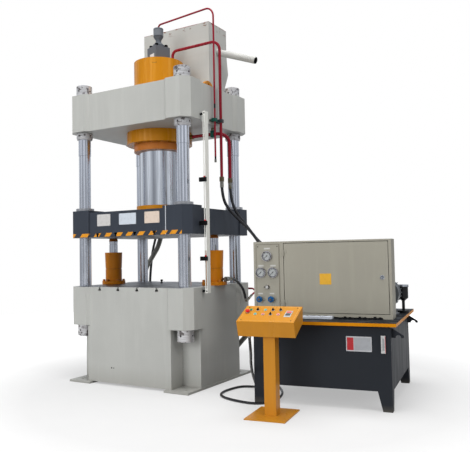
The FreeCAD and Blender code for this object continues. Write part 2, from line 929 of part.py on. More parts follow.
def make_screws():
    """Cap screws that hold the gland, flush with its face, and the buffers."""
    gland = screw_ring("gland_screws", "0", "gland_low + screw_head_height",
                       "gland_diameter / 2 - gland_screw_margin", "gland_screws", True)
    buffer_seat = "bed_top + buffer_flange_height"
    buffer_reach = "buffer_flange / 2 - buffer_screw_margin"
    rings = [screw_ring("buffer_screws_" + side, sign + "buffer_x", buffer_seat, buffer_reach,
                        "buffer_screws", False) for side, sign in (("right", ""), ("left", "-"))]
    node(group("cap_screws", gland, *rings))


def make_ram():
    """The ram with its piston head, and the ring that holds it to the slide."""
    shaft = "ram_diameter / 2"
    head = "bore_diameter / 2 - fit_gap"
    node(turned("main_ram", [
        ("0", "slide_mid"), (shaft, "slide_mid"), (shaft, "piston_low"), (head, "piston_low"),
        (head, "piston_low + piston_height"), ("0", "piston_low + piston_height")]))
    ring, inner = "ram_ring_diameter / 2", "ram_diameter / 2 + fit_gap"
    node(turned("ram_flange", [
        (inner, "slide_mid"), (ring, "slide_mid"), (ring, "slide_mid + ram_ring_height"),
        (inner, "slide_mid + ram_ring_height")]))


def make_slide():
    """The slide: four corner bosses round a slightly lower, slightly recessed middle."""
    body = doc.addObject("PartDesign::Body", "slide")
    boss_inner_x = "half_width - slide_boss_x"
    boss_inner_y = "half_depth - slide_boss_y"
    corner = [
        (boss_inner_x, "-half_depth + slide_recess"), (boss_inner_x, "-half_depth"),
        ("half_width - corner_cut", "-half_depth"), ("half_width", "-half_depth + corner_cut"),
        ("half_width", "-(%s)" % boss_inner_y),
        ("half_width - slide_recess", "-(%s)" % boss_inner_y)]
    block = new_sketch(body, "slide_block", "XY_Plane", "slide_low")
    outline(block, four_way(corner))
    pad(body, block, "slide_height - slide_step")
    bosses = new_sketch(body, "slide_bosses", "XY_Plane", "slide_mid")
    for side in ("", "-"):
        for end in ("", "-"):
            outline(bosses, [("%s(%s)" % (side, x), "%s(%s)" % (end, y)) for x, y in (
                (boss_inner_x, "half_depth"), ("half_width - corner_cut", "half_depth"),
                ("half_width", "half_depth - corner_cut"), ("half_width", boss_inner_y),
                (boss_inner_x, boss_inner_y))])
    pad(body, bosses, "slide_step")
    cut_tslots(body, "slide_low", "+")
    holes = new_sketch(body, "slide_bush_holes", "XY_Plane", "slide_top")
    corner_circles(holes, "column_x", "column_y", "bush_diameter + 2 * fit_gap")
    pocket(body, holes, "slide_height")
    node(body)


def make_bushes():
    """Flanged guide bushes in the slide, running on the columns."""
    bore, outer = "column_diameter / 2 + fit_gap", "bush_diameter / 2"
    flange = "bush_flange / 2"
    bush = turned("bush", [
        (bore, "slide_low"), (outer, "slide_low"), (outer, "slide_top"), (flange, "slide_top"),
        (flange, "slide_top + bush_flange_height"), (bore, "slide_top + bush_flange_height")])
    place(bush, "column_x", "column_y")
    node(at_corners("guide_bushes", bush))


def make_buffers():
    """Two buffer cylinders on the bed, their rods, and the pads that strike them."""
    outer, waist, flange = "buffer_diameter / 2", "buffer_waist / 2", "buffer_flange / 2"
    bore = "rod_diameter / 2 + fit_gap"
    floor, groove = "bed_top + buffer_floor", "bed_top + buffer_groove_level"
    blank = turned("buffer_blank", [
        ("0", "bed_top"), (flange, "bed_top"), (flange, "bed_top + buffer_flange_height"),
        (waist, "bed_top + buffer_flange_height"), (waist, groove),
        (waist + " - buffer_groove", groove),
        (waist + " - buffer_groove", groove + " + buffer_groove"),
        (waist, groove + " + buffer_groove"), (outer, "buffer_top"), (bore, "buffer_top"),
        (bore, floor), ("0", floor)])
    place(blank, "buffer_x")
    node(pair("buffer_barrels", blank))
    radius, neck = "rod_diameter / 2", "rod_diameter / 2 - rod_cap_groove"
    for side, sign in (("left", "-"), ("right", "")):
        rod = turned("buffer_rod_" + side, [
            ("0", "rod_low"), (radius, "rod_low"), (radius, "rod_top - rod_cap - rod_cap_groove"),
            (neck, "rod_top - rod_cap - rod_cap_groove"), (neck, "rod_top - rod_cap"),
            (radius, "rod_top - rod_cap"), (radius, "rod_top"), ("0", "rod_top")])
        node(place(rod, sign + "buffer_x"))
    pad_body = turned("striker", [
        ("0", "rod_top"), ("striker_tip / 2", "rod_top"), ("striker_diameter / 2", "slide_low"),
        ("0", "slide_low")])
    place(pad_body, "buffer_x")
    node(pair("striker_pads", pad_body))


# ---------------------------------------------------------------- oil circuit on the press


def make_prefill_valve():
    """The prefill valve: a square block with corner screws and a domed, flared cap."""
    half = "valve_block / 2"
    top = "barrel_top + valve_block_height"
    block = plate("valve_block_body", "XY_Plane",
                  [("-" + half, "-" + half), (half, "-" + half), (half, half), ("-" + half, half)],
                  "barrel_top", "valve_block_height")
    dome = top + " + valve_dome_height"
    neck = dome + " + valve_neck_height"
    flare = neck + " + valve_flare_height"
    cap = flare + " + valve_cap_height"
    outer, seam = "valve_cap / 2", "valve_cap / 2 - valve_seam"
    head = turned("valve_head", [
        ("0", top), ("valve_dome / 2", top), ("valve_dome / 2", top + " + valve_dome_height / 2"),
        ("valve_neck / 2", dome), ("valve_neck / 2", neck), (outer, flare), (seam, flare),
        (seam, flare + " + valve_seam"), (outer, flare + " + valve_seam"),
        (outer, cap + " - valve_cap_chamfer"), (outer + " - valve_cap_chamfer", cap), ("0", cap)])
    screws = [cylinder("valve_screw_%s_%s" % (side, end), "valve_screw", "valve_screw_height",
                       "%s(%s - valve_screw_inset)" % (sign, half),
                       "%s(%s - valve_screw_inset)" % (back, half), top)
              for side, sign in (("right", ""), ("left", "-"))
              for end, back in (("rear", ""), ("front", "-"))]
    piece = fuse("prefill_valve", block, head, *screws)
    link(piece, "Placement.Rotation.Angle", "valve_turn")
    node(piece)


def make_prefill_tank():
    """The prefill tank: its stub to the barrel, its hose outlets and its open overflow pipe."""
    tank = plate("prefill_body", "YZ_Plane", [
        ("prefill_front", "crown_top"), ("prefill_front + prefill_foot", "crown_top"),
        ("prefill_front + prefill_waist", "crown_top + prefill_waist_rise"),
        ("prefill_front + prefill_belly", "crown_top + prefill_belly_rise"),
        ("prefill_front + prefill_depth", "crown_top + prefill_shoulder_rise"),
        ("prefill_front + prefill_depth", "crown_top + prefill_height"),
        ("prefill_front", "crown_top + prefill_height")], "-prefill_length / 2", "prefill_length")
    stub = cut("prefill_stub_body",
               cylinder("prefill_stub_bar", "prefill_stub", "prefill_front + overflow_wall",
                        "0", "0", "crown_top + prefill_stub_rise", "y"),
               cylinder("prefill_stub_saddle", "barrel_diameter", "barrel_rise", z="crown_top"))
    blind = "(overflow_length + overflow_diameter / 2 - overflow_depth)"
    root = ("prefill_length / 2 - overflow_diameter / 2", "prefill_front + prefill_depth"
            " - overflow_inset", "crown_top + overflow_rise")
    seat = (root[0] + " + %s * cos(overflow_fall)" % blind, root[1],
            root[2] + " - %s * sin(overflow_fall)" % blind)
    pipes = []
    for name, start, diameter, length in (
            ("overflow_pipe", root, "overflow_diameter", "overflow_length + overflow_diameter / 2"),
            ("overflow_bore", seat, "overflow_diameter - 2 * overflow_wall", "overflow_length * 2")):
        pipe = doc.addObject("Part::Cylinder", name)
        pipe.Placement = FreeCAD.Placement(Vector(), FreeCAD.Rotation(Vector(0, 1, 0), 90))
        link(pipe, "Placement.Rotation.Angle", "90 + overflow_fall")
        link(pipe, "Radius", "(%s) / 2" % diameter)
        link(pipe, "Height", length)
        pipes.append(place(pipe, *start))
    outlets = [cylinder("prefill_outlet_" + name, name + "_stub", "hose_stub_top - hose_stub_end",
                        "-%s_stub_x" % name, "prefill_front + hose_stub_y",
                        "crown_top + hose_stub_end") for name in ("return", "rear")]
    node(cut("prefill_tank", fuse("prefill_solid", tank, stub, pipes[0], *outlets), pipes[1]))


# The short buffer pipe and its elbow, from the top of the bed's rear right corner.
BUFFER_ELBOW = [(47, -234, -170), (47, -226, -214), (45, -81, -144)]
BUFFER_PIPE = [(45, -81, -144), (43, 27, -105), (-25, 71, -78), (-135, 71, -78), (-135, 0, -78)]


def from_bed_corner(points):
    """Points measured from the top of the bed's rear right corner, set in the press."""
    corner = spot("half_width", "half_depth", "bed_top")
    return [corner + Vector(*point) for point in points]


def make_pipes():
    """The red steel pipes down the right side of the press and at the bed's rear corner."""
    cap = ("(barrel_top + valve_block_height + valve_dome_height + valve_neck_height"
           " + valve_flare_height + valve_cap_height)")
    high = cap + " + pilot_top_rise"
    node(tube("pilot_pipe", "pilot_pipe", [
        spot("0", "0", cap), spot("0", "0", high), spot("pilot_x", "pilot_y", high),
        spot("pilot_x", "pilot_y", "crown_low - pilot_end_drop")], ["small_bend", "wide_bend"]))
    level = "barrel_top + upper_top_rise"
    node(tube("upper_port_pipe", "upper_pipe", [
        spot("upper_port_x", "0", "barrel_top"), spot("upper_port_x", "0", level),
        spot("riser_x", "riser_y", level),
        spot("riser_x", "riser_y", "crown_low - upper_end_drop")], ["tight_bend", "wide_bend"]))
    port = "crown_low - lower_port_drop"
    node(tube("lower_port_pipe", "lower_pipe", [
        spot("flange_diameter / 2 + port_length", "lower_run_y", port),
        spot("lower_turn_x", "lower_run_y", port), spot("lower_x", "lower_y", port),
        spot("lower_x", "lower_y", "crown_low - lower_end_drop")], ["tight_bend", "wide_bend"]))
    node(tube("buffer_pipe", "buffer_pipe", from_bed_corner(BUFFER_PIPE), ["small_bend"] * 3))


def make_clamps():
    """Green clamp blocks on a strut at the crown's side, and one that hangs from the crown."""
    level = "crown_low + strut_rise"
    blocks = []
    for name, x, y, pipe in (("pilot", "pilot_x", "pilot_y", "pilot_pipe"),
                             ("riser", "riser_x", "riser_y", "upper_pipe")):
        block = box("clamp_block_" + name,
                    ("plate_x + strut_thickness", "%s + %s / 2 + clamp_cover" % (x, pipe)),
                    ("%s - clamp_width / 2" % y, "%s + clamp_width / 2" % y),
                    (level, level + " + clamp_height"))
        bore = cylinder("clamp_bore_" + name, pipe + " + 2 * fit_gap", "clamp_height * 2", x, y,
                        level + " - clamp_height / 2")
        blocks.append(cut("clamp_" + name, block, bore))
    port = "crown_low - lower_port_drop"
    hung = box("clamp_block_hung", ("hanger_x - hanger_width / 2", "hanger_x + hanger_width / 2"),
               ("lower_run_y - clamp_width / 2", "lower_run_y + clamp_width / 2"),
               (port + " - hanger_block / 2", port + " + hanger_block / 2"))
    hung_bore = cylinder("clamp_bore_hung", "lower_pipe + 2 * fit_gap", "hanger_width * 2",
                         "hanger_x - hanger_width", "lower_run_y", port, "x")
    blocks.append(cut("clamp_hung", hung, hung_bore))
    node(group("pipe_clamps", *blocks))


def make_fittings():
    """Pipe and hose fittings, the clamp strut and hanger, and the console's cable gland."""
    port = "crown_low - lower_port_drop"
    pieces = [
        box("clamp_strut", ("plate_x", "plate_x + strut_thickness"),
            ("pilot_y - clamp_width / 2 - strut_margin", "riser_y + clamp_width / 2 + strut_margin"),
            ("crown_low + strut_rise", "crown_low + strut_rise + strut_height")),
        box("clamp_hanger", ("hanger_x - hanger_width / 2", "hanger_x + hanger_width / 2"),
            ("lower_run_y - hanger_plate / 2", "lower_run_y + hanger_plate / 2"),
            (port + " + hanger_block / 2", "crown_low")),
        cylinder("pilot_cap", "pilot_cap", "pilot_cap_height", "pilot_x", "pilot_y",
                 "crown_low - pilot_end_drop - pilot_cap_height"),
    ]
    boss = cut("port_boss_body",
               cylinder("port_boss", "port_nut", "flange_diameter / 2 + port_length", "0",
                        "lower_run_y", port, "x"),
               cylinder("port_saddle", "flange_diameter", "flange_height", z="flange_low"))
    pieces.append(boss)
    for name, x, y, drop in (("upper", "riser_x", "riser_y", "upper_end_drop"),
                             ("lower", "lower_x", "lower_y", "lower_end_drop")):
        end = "crown_low - " + drop
        nut = hexagon("hose_nut_" + name, "hose_nut * 1.1547", "hose_nut_height", x, y,
                      end + " - hose_nut_height")
        ferrule = cylinder("hose_ferrule_" + name, "hose_ferrule", "hose_ferrule_height", x, y,
                           end + " - hose_nut_height - hose_ferrule_height")
        pieces.append(fuse("hose_fitting_" + name, nut, ferrule))
    elbow = tube("buffer_elbow", "elbow_diameter", from_bed_corner(BUFFER_ELBOW),
                 ["elbow_diameter"])
    node(group("pipe_fittings", *pieces, buffer_port_fitting(), rear_elbow(), manifold_ports(),
               console_gland(), elbow))


def console_prism(label):
    """The wedge-shaped block of the console box."""
    return plate(label, "YZ_Plane", [
        ("-console_depth / 2", "console_front_high"), ("console_depth / 2", "console_rear_high"),
        ("console_depth / 2", "console_rear_low"),
        ("-console_depth / 2 + console_undercut", "console_front_low")],
        "-console_width / 2", "console_width")


def buffer_port_fitting():
    """The elbow at the right buffer's port, with the nut and ferrule of its hose."""
    level, x = "bed_top + buffer_port_rise", "buffer_x + buffer_elbow_reach"
    inlet = cut("buffer_inlet",
                cylinder("buffer_inlet_bar", "elbow_diameter",
                         "buffer_elbow_reach + elbow_diameter / 2", "buffer_x", "0", level, "x"),
                cylinder("buffer_inlet_saddle", "buffer_waist", "buffer_height", "buffer_x",
                         z="bed_top"))
    turn = cylinder("buffer_turn", "elbow_diameter",
                    "buffer_elbow_end + elbow_diameter / 2", x, "-elbow_diameter / 2", level, "y")
    nut = hexagon("buffer_nut", "hose_nut * 1.1547", "hose_nut_height", x,
                  "buffer_elbow_end - hose_nut_height", level, "y")
    ferrule = cylinder("buffer_ferrule", "hose_ferrule", "hose_ferrule_height", x,
                       "buffer_elbow_end", level, "y")
    return fuse("buffer_fitting", inlet, turn, nut, ferrule)


def rear_elbow():
    """The elbow on the bed's rear face that takes the rear hose."""
    level = "bed_top - rear_elbow_drop"
    x, y = "-rear_elbow_x", "half_depth + rear_elbow_reach"
    inlet = cylinder("rear_inlet", "elbow_diameter", "rear_elbow_reach + elbow_diameter / 2", x,
                     "half_depth", level, "y")
    nut = hexagon("rear_nut", "hose_nut * 1.1547", "hose_nut_height", x, y, level)
    ferrule = cylinder("rear_ferrule", "hose_ferrule", "hose_ferrule_height", x, y,
                       level + " + hose_nut_height")
    return fuse("rear_fitting", inlet, nut, ferrule)


def manifold_ports():
    """Hose ends on the manifold, the return hose's port and the cabinet's cable gland."""
    left = "-lid_width + manifold_left"
    pieces = []
    for name in ("upper", "lower"):
        y, level = "manifold_front + port_%s_y" % name, "lid_top + port_%s_rise" % name
        nut = hexagon("port_nut_" + name, "hose_nut * 1.1547", "hose_nut_height",
                      left + " - hose_nut_height", y, level, "x")
        ferrule = cylinder("port_ferrule_" + name, "hose_ferrule", "hose_ferrule_height",
                           left + " - hose_end_drop", y, level, "x")
        pieces.append(fuse("port_fitting_" + name, nut, ferrule))
    pieces.append(cylinder("return_port_body", "return_port", "return_port_length",
                           "-lid_width + lid_overhang - return_port_length", "return_port_y",
                           "lid_low - return_port_drop", "x"))
    pieces.append(cylinder("cabinet_gland", "gland_fitting", "gland_fitting_height",
                           "-lid_width + cabinet_gland_x", "cabinet_front + cabinet_depth",
                           "cabinet_low + cabinet_gland_rise", "y"))
    ports = group("manifold_ports", *pieces)
    place(ports, "unit_x", "unit_y")
    link(ports, "Placement.Rotation.Angle", "unit_yaw")
    return ports


def console_gland():
    """The cable gland under the console box."""
    level = "console_front_low - console_gland_drop"
    bar = cylinder("console_gland_bar", "gland_fitting", "2 * gland_fitting_height",
                   "-console_gland_x", "-console_gland_y", level)
    gland = cut("console_gland", bar, console_prism("console_gland_cover"))
    place(gland, "console_x", "console_y")
    link(gland, "Placement.Rotation.Angle", "unit_yaw")
    return gland


# ---------------------------------------------------------------- limit switches


def make_rail():
    """The folded switch rail beside the press, held off by spacers at bed and crown."""
    outer, inner = "rail_x + rail_depth", "rail_x"
    front, rear = "-rail_y", "-rail_y + rail_width"
    body = plate("rail_channel", "XY_Plane", [
        (inner, front), (outer, front), (outer, rear), (inner, rear),
        (inner, rear + " - rail_sheet"), (outer + " - rail_sheet", rear + " - rail_sheet"),
        (outer + " - rail_sheet", front + " + rail_sheet"), (inner, front + " + rail_sheet")],
        "bed_top - rail_low_drop", "clear_height + rail_low_drop + rail_top_rise")
    slot = new_sketch(body, "rail_slot", "XZ_Plane", "rail_y")
    outline(slot, [(x, z) for x, z in (
        (inner + " + rail_slot_inset", "bed_top - rail_low_drop + rail_slot_margin"),
        (inner + " + rail_slot_inset + rail_slot", "bed_top - rail_low_drop + rail_slot_margin"),
        (inner + " + rail_slot_inset + rail_slot", "crown_low + rail_top_rise - rail_slot_margin"),
        (inner + " + rail_slot_inset", "crown_low + rail_top_rise - rail_slot_margin"))])
    pocket(body, slot, "rail_sheet")
    spacers = [cylinder("rail_spacer_" + name, "spacer_diameter",
                        "rail_gap + rail_depth - rail_sheet", "half_width",
                        "-rail_y + rail_width / 2", level, "x")
               for name, level in (("low", "bed_top - rail_low_drop + spacer_margin"),
                                   ("top", "crown_low + rail_top_rise - spacer_margin"))]
    node(fuse("switch_rail", body, *spacers))


def make_switches():
    """Three limit switches that slide along the rail's front flange."""
    for name in ("upper", "middle", "lower"):
        level = "bed_top + switch_%s_rise" % name
        right = "rail_x + rail_depth + switch_overhang"
        face = "-rail_y - seat_gap"
        case = box("switch_case_" + name, (right + " - switch_length", right),
                   (face + " - switch_depth", face),
                   (level + " - switch_height / 2", level + " + switch_height / 2"))
        cap = cylinder("switch_cap_" + name, "switch_cap", "switch_cap_height",
                       right + " - switch_cap_inset", face + " - switch_depth / 2",
                       level + " + switch_height / 2")
        node(fuse("switch_" + name, case, cap))


# ---------------------------------------------------------------- power unit


def make_oil_tank():
    """The oil tank on four tapered legs, with a lifting hook at each corner."""
    left, right = "-lid_width + lid_overhang", "-lid_overhang"
    front, rear = "lid_overhang", "lid_depth - lid_overhang"
    shell = box("tank_shell", (left, right), (front, rear), ("leg_height", "lid_low"))
    legs = []
    for side, x, inward in (("left", left, "1"), ("right", right, "-1")):
        for end, y, back in (("front", front, "-1"), ("rear", rear, "1")):
            leg = doc.addObject("Part::Wedge", "leg_%s_%s" % (side, end))
            for corner, text in (
                    ("Xmin", "min(0; %s * leg_foot)" % inward),
                    ("Xmax", "max(0; %s * leg_foot)" % inward),
                    ("Zmin", "min(0; %s * leg_foot)" % back),
                    ("Zmax", "max(0; %s * leg_foot)" % back),
                    ("Ymin", "0"), ("Ymax", "leg_height"),
                    ("X2min", "min(0; %s * leg_width)" % inward),
                    ("X2max", "max(0; %s * leg_width)" % inward),
                    ("Z2min", "min(0; %s * leg_width)" % back),
                    ("Z2max", "max(0; %s * leg_width)" % back)):
                link(leg, corner, text)
            # The wedge tapers along its own Y axis, which stands up here.
            leg.Placement = FreeCAD.Placement(Vector(), FreeCAD.Rotation(Vector(1, 0, 0), 90))
            legs.append(place(leg, x, y))
    hooks = []
    for end, y in (("front", front + " + hook_margin"), ("rear", rear + " - hook_margin")):
        for side, root, sign in (("right", right, "+"), ("left", left, "-")):
            body = plate("hook_%s_%s" % (side, end), "XZ_Plane", [
                ("%s" % root, "lid_low - hook_drop"),
                ("%s %s hook_reach" % (root, sign), "lid_low - hook_drop - hook_height + hook_tip"),
                ("%s %s hook_reach" % (root, sign), "lid_low - hook_drop - hook_height"),
                ("%s" % root, "lid_low - hook_drop - hook_height")],
                "-(%s) - hook_thickness / 2" % y, "hook_thickness")
            notch = new_sketch(body, "hook_notch_%s_%s" % (side, end), "XZ_Plane",
                               "-(%s) + hook_thickness" % y)
            circle(notch, "%s %s hook_reach * 0.55" % (root, sign),
                   "lid_low - hook_drop - hook_height", "2 * hook_eye")
            pocket(body, notch, "hook_thickness * 2")
            hooks.append(body)
    on_unit(fuse("oil_tank", shell, *legs, *hooks))


def make_lid():
    """The tank lid, and the level gauge on the tank's front."""
    on_unit(plate("tank_lid", "XY_Plane", [
        ("-lid_width", "0"), ("0", "0"), ("0", "lid_depth"), ("-lid_width", "lid_depth")],
        "lid_low", "lid_thickness"))
    top = "lid_low - level_drop"
    low = top + " - level_height"
    on_unit(plate("level_gauge", "XZ_Plane", [
        ("-level_inset - level_width", low), ("-level_inset", low), ("-level_inset", top),
        ("-level_inset - level_width", top)], "-lid_overhang", "level_depth"))


def facing_front(thing, x, y, z):
    """Turns a piece built upright so that its top faces the front, and places it."""
    thing.Placement = FreeCAD.Placement(Vector(), FreeCAD.Rotation(Vector(1, 0, 0), 90))
    return place(thing, x, y, z)


PANEL_WALL = "(panel_depth + cabinet_wall)"
PANEL_FACE = "(cabinet_front - panel_depth)"
GAUGE_SPOTS = {"top": ("gauge_top_x", "gauge_top_rise"), "left": ("gauge_left_x", "gauge_low_rise"),
               "right": ("gauge_right_x", "gauge_low_rise")}
STEM_SPOTS = {"knob": ("gauge_top_x", "knob_rise"), "left": ("wheel_left_x", "wheel_rise"),
              "right": ("wheel_right_x", "wheel_rise")}


def panel_spot(spot):
    """A place on the gauge panel: across from its left edge, up from its low edge."""
    return "-panel_left + " + spot[0], "door_low + " + spot[1]


def make_cabinet():
    """The cabinet: a folded box with a door opening, its gauge panel, feet and hinges."""
    left, right = "-cabinet_inset - cabinet_width", "-cabinet_inset"
    front, rear = "cabinet_front", "cabinet_front + cabinet_depth"
    wall = "cabinet_wall"
    shell = cut("cabinet_shell",
                box("cabinet_outside", (left, right), (front, rear), ("cabinet_low", "cabinet_top")),
                box("cabinet_inside", (left + " + " + wall, right + " - " + wall),
                    (front + " + " + wall, rear + " - " + wall),
                    ("cabinet_low + " + wall, "cabinet_top - " + wall)))
    frame = box("door_frame",
                ("-door_left - door_gap - " + wall, "-door_right + door_gap + " + wall),
                (front, front + " + door_thickness"),
                ("door_low - door_gap - " + wall, "door_top + door_gap + " + wall))
    opening = box("door_opening", ("-door_left - door_gap", "-door_right + door_gap"),
                  (front + " - door_thickness", front + " + 2 * door_thickness"),
                  ("door_low - door_gap", "door_top + door_gap"))
    panel = box("gauge_panel", ("-panel_left", "-panel_left + panel_width"),
                (PANEL_FACE, front), ("door_low", "door_top"))
    partition = box("cabinet_partition",
                    ("-panel_left + panel_width", "-panel_left + panel_width + " + wall),
                    (front, rear), ("cabinet_low", "cabinet_top"))
    feet = [box("cabinet_foot_" + name, (x, x + " + cabinet_foot_length"), (front, rear),
                ("lid_top", "cabinet_low"))
            for name, x in (("left", left + " + cabinet_overhang"),
                            ("right", right + " - cabinet_foot_length"))]
    hinges = []
    for name, level in (("low", "door_low + hinge_inset"), ("top", "door_top - hinge_inset")):
        hinge_x, hinge_y = "-door_left - door_gap / 2", front + " - hinge_setback"
        leaf = box("frame_leaf_" + name, (hinge_x + " - hinge_leaf", hinge_x),
                   (front + " - hinge_leaf_sheet", front),
                   (level + " - hinge_height / 2", level + " - seat_gap / 2"))
        knuckle = cylinder("frame_knuckle_" + name, "2 * hinge_radius",
                           "hinge_height / 2 - seat_gap / 2", hinge_x, hinge_y,
                           level + " - hinge_height / 2")
        pin = cylinder("hinge_pin_" + name, "2 * hinge_pin", "hinge_height", hinge_x, hinge_y,
                       level + " - hinge_height / 2")
        hinges += [leaf, knuckle, pin]
    solid = cut("cabinet_frame", fuse("cabinet_body", shell, frame, panel, partition, *feet),
                opening)
    holes = []
    for name, spot in GAUGE_SPOTS.items():
        x, z = panel_spot(spot)
        holes.append(cylinder("gauge_hole_" + name, "gauge_case + 2 * fit_gap",
                              PANEL_WALL + " * 3", x, front + " - " + PANEL_WALL, z, "y"))
    for name, spot in STEM_SPOTS.items():
        x, z = panel_spot(spot)
        holes.append(cylinder("stem_hole_" + name, "stem_diameter + 2 * fit_gap",
                              PANEL_WALL + " * 3", x, front + " - " + PANEL_WALL, z, "y"))
    bored = cut("cabinet_bored", solid, *holes)
    on_unit(fuse("cabinet", bored, *hinges))


def make_door():
    """The cabinet door with its upper hinge knuckles, and the quarter-turn lock."""
    front = "cabinet_front"
    panel = box("door_panel", ("-door_left", "-door_right"),
                (front, front + " + door_thickness"), ("door_low", "door_top"))
    lock_x, lock_z = "-door_right - lock_inset", "door_low + lock_rise"
    hole = cylinder("lock_hole", "lock_shaft + 2 * fit_gap", "3 * door_thickness", lock_x,
                    front + " - door_thickness", lock_z, "y")
    parts, bores = [cut("door_bored", panel, hole)], []
    for name, level in (("low", "door_low + hinge_inset"), ("top", "door_top - hinge_inset")):
        hinge_x, hinge_y = "-door_left - door_gap / 2", front + " - hinge_setback"
        low = level + " + seat_gap / 2"
        height = "hinge_height / 2 - seat_gap / 2"
        parts.append(box("door_leaf_" + name, (hinge_x, hinge_x + " + hinge_leaf"),
                         (front + " - hinge_leaf_sheet", front), (low, low + " + " + height)))
        parts.append(cylinder("door_knuckle_" + name, "2 * hinge_radius", height, hinge_x,
                              hinge_y, low))
        bores.append(cylinder("door_pin_bore_" + name, "2 * hinge_pin + 2 * fit_gap",
                              "hinge_height", hinge_x, hinge_y, level))
    on_unit(cut("cabinet_door", fuse("door_solid", *parts), *bores))
    back = "door_thickness + seat_gap"
    bolt = turned("lock_bolt", [
        ("0", "-(%s)" % back), ("lock_shaft / 2", "-(%s)" % back), ("lock_shaft / 2", "seat_gap"),
        ("lock_diameter / 2", "seat_gap"), ("lock_diameter / 2", "seat_gap + lock_head"),
        ("0", "seat_gap + lock_head")])
    facing_front(bolt, lock_x, front, lock_z)
    cam = box("lock_cam", (lock_x + " - lock_cam_width / 2", lock_x + " + lock_cam_width / 2"),
              (front + " + " + back, front + " + " + back + " + lock_cam_sheet"),
              (lock_z + " - lock_cam_width / 2",
               lock_z + " - lock_cam_width / 2 + lock_cam_length"))
    on_unit(fuse("door_lock", bolt, cam))


def make_gauges():
    """Three pressure gauges through the panel, each a bezel with a recessed dial."""
    gauges = []
    rim, dial, case = "gauge_diameter / 2", "gauge_case / 2", "gauge_case / 2"
    for name, spot in GAUGE_SPOTS.items():
        x, z = panel_spot(spot)
        gauge = turned("gauge_" + name, [
            ("0", "-gauge_case_depth"), (case, "-gauge_case_depth"), (case, "0"), (rim, "0"),
            (rim, "gauge_bezel"), (dial, "gauge_bezel"), (dial, "gauge_bezel - gauge_glass_drop"),
            ("0", "gauge_bezel - gauge_glass_drop")])
        gauges.append(facing_front(gauge, x, PANEL_FACE, z))
    on_unit(group("pressure_gauges", *gauges))


def stem_profile(head):
    """Half the section of a collared stem behind the panel, with a head in front of it."""
    stem, collar = "stem_diameter / 2", "stem_collar / 2"
    inside = "-(%s + seat_gap)" % PANEL_WALL
    return [("0", "-stem_depth"), (stem, "-stem_depth"), (stem, inside + " - stem_collar_height"),
            (collar, inside + " - stem_collar_height"), (collar, inside), (stem, inside)] + head


def make_panel_controls():
    """The gauge valve's knob with its nub, and two scalloped handwheels."""
    x, z = panel_spot(STEM_SPOTS["knob"])
    knob = turned("knob_body", stem_profile([
        ("stem_diameter / 2", "seat_gap"), ("knob_diameter / 2", "seat_gap"),
        ("knob_diameter / 2", "seat_gap + knob_height"), ("0", "seat_gap + knob_height")]))
    facing_front(knob, x, PANEL_FACE, z)
    nub = cylinder("knob_nub", "knob_nub", "knob_diameter", x + " - knob_diameter",
                   PANEL_FACE + " - seat_gap - knob_height / 2", z, "x")
    on_unit(fuse("gauge_valve_knob", knob, nub))
    for name in ("left", "right"):
        x, z = panel_spot(STEM_SPOTS[name])
        rim, hub = "handwheel_diameter / 2", "handwheel_hub / 2"
        wheel = turned("wheel_" + name, stem_profile([
            ("stem_diameter / 2", "handwheel_stand"), (hub, "handwheel_stand"),
            (rim + " - handwheel_rim / 4", "handwheel_stand"),
            (rim, "handwheel_stand + handwheel_rim / 4"),
            (rim, "handwheel_stand + handwheel_rim * 3 / 4"),
            (rim + " - handwheel_rim / 4", "handwheel_stand + handwheel_rim"),
            (hub, "handwheel_stand + handwheel_rim"),
            (hub, "handwheel_stand + handwheel_rim * 2"), ("0", "handwheel_stand"
                                                           " + handwheel_rim * 2")]))
        facing_front(wheel, x, PANEL_FACE, z)
        scallops = []
        for step in range(6):
            angle = "(%d * 60)" % step
            scallops.append(cylinder(
                "scallop_%s_%d" % (name, step), "handwheel_rim", "handwheel_rim * 2",
                "%s + (handwheel_diameter / 2 + handwheel_rim / 4) * cos(%s)" % (x, angle),
                "%s - handwheel_stand - handwheel_rim * 1.5" % PANEL_FACE,
                "%s + (handwheel_diameter / 2 + handwheel_rim / 4) * sin(%s)" % (z, angle), "y"))
        on_unit(cut("handwheel_" + name, wheel, *scallops))


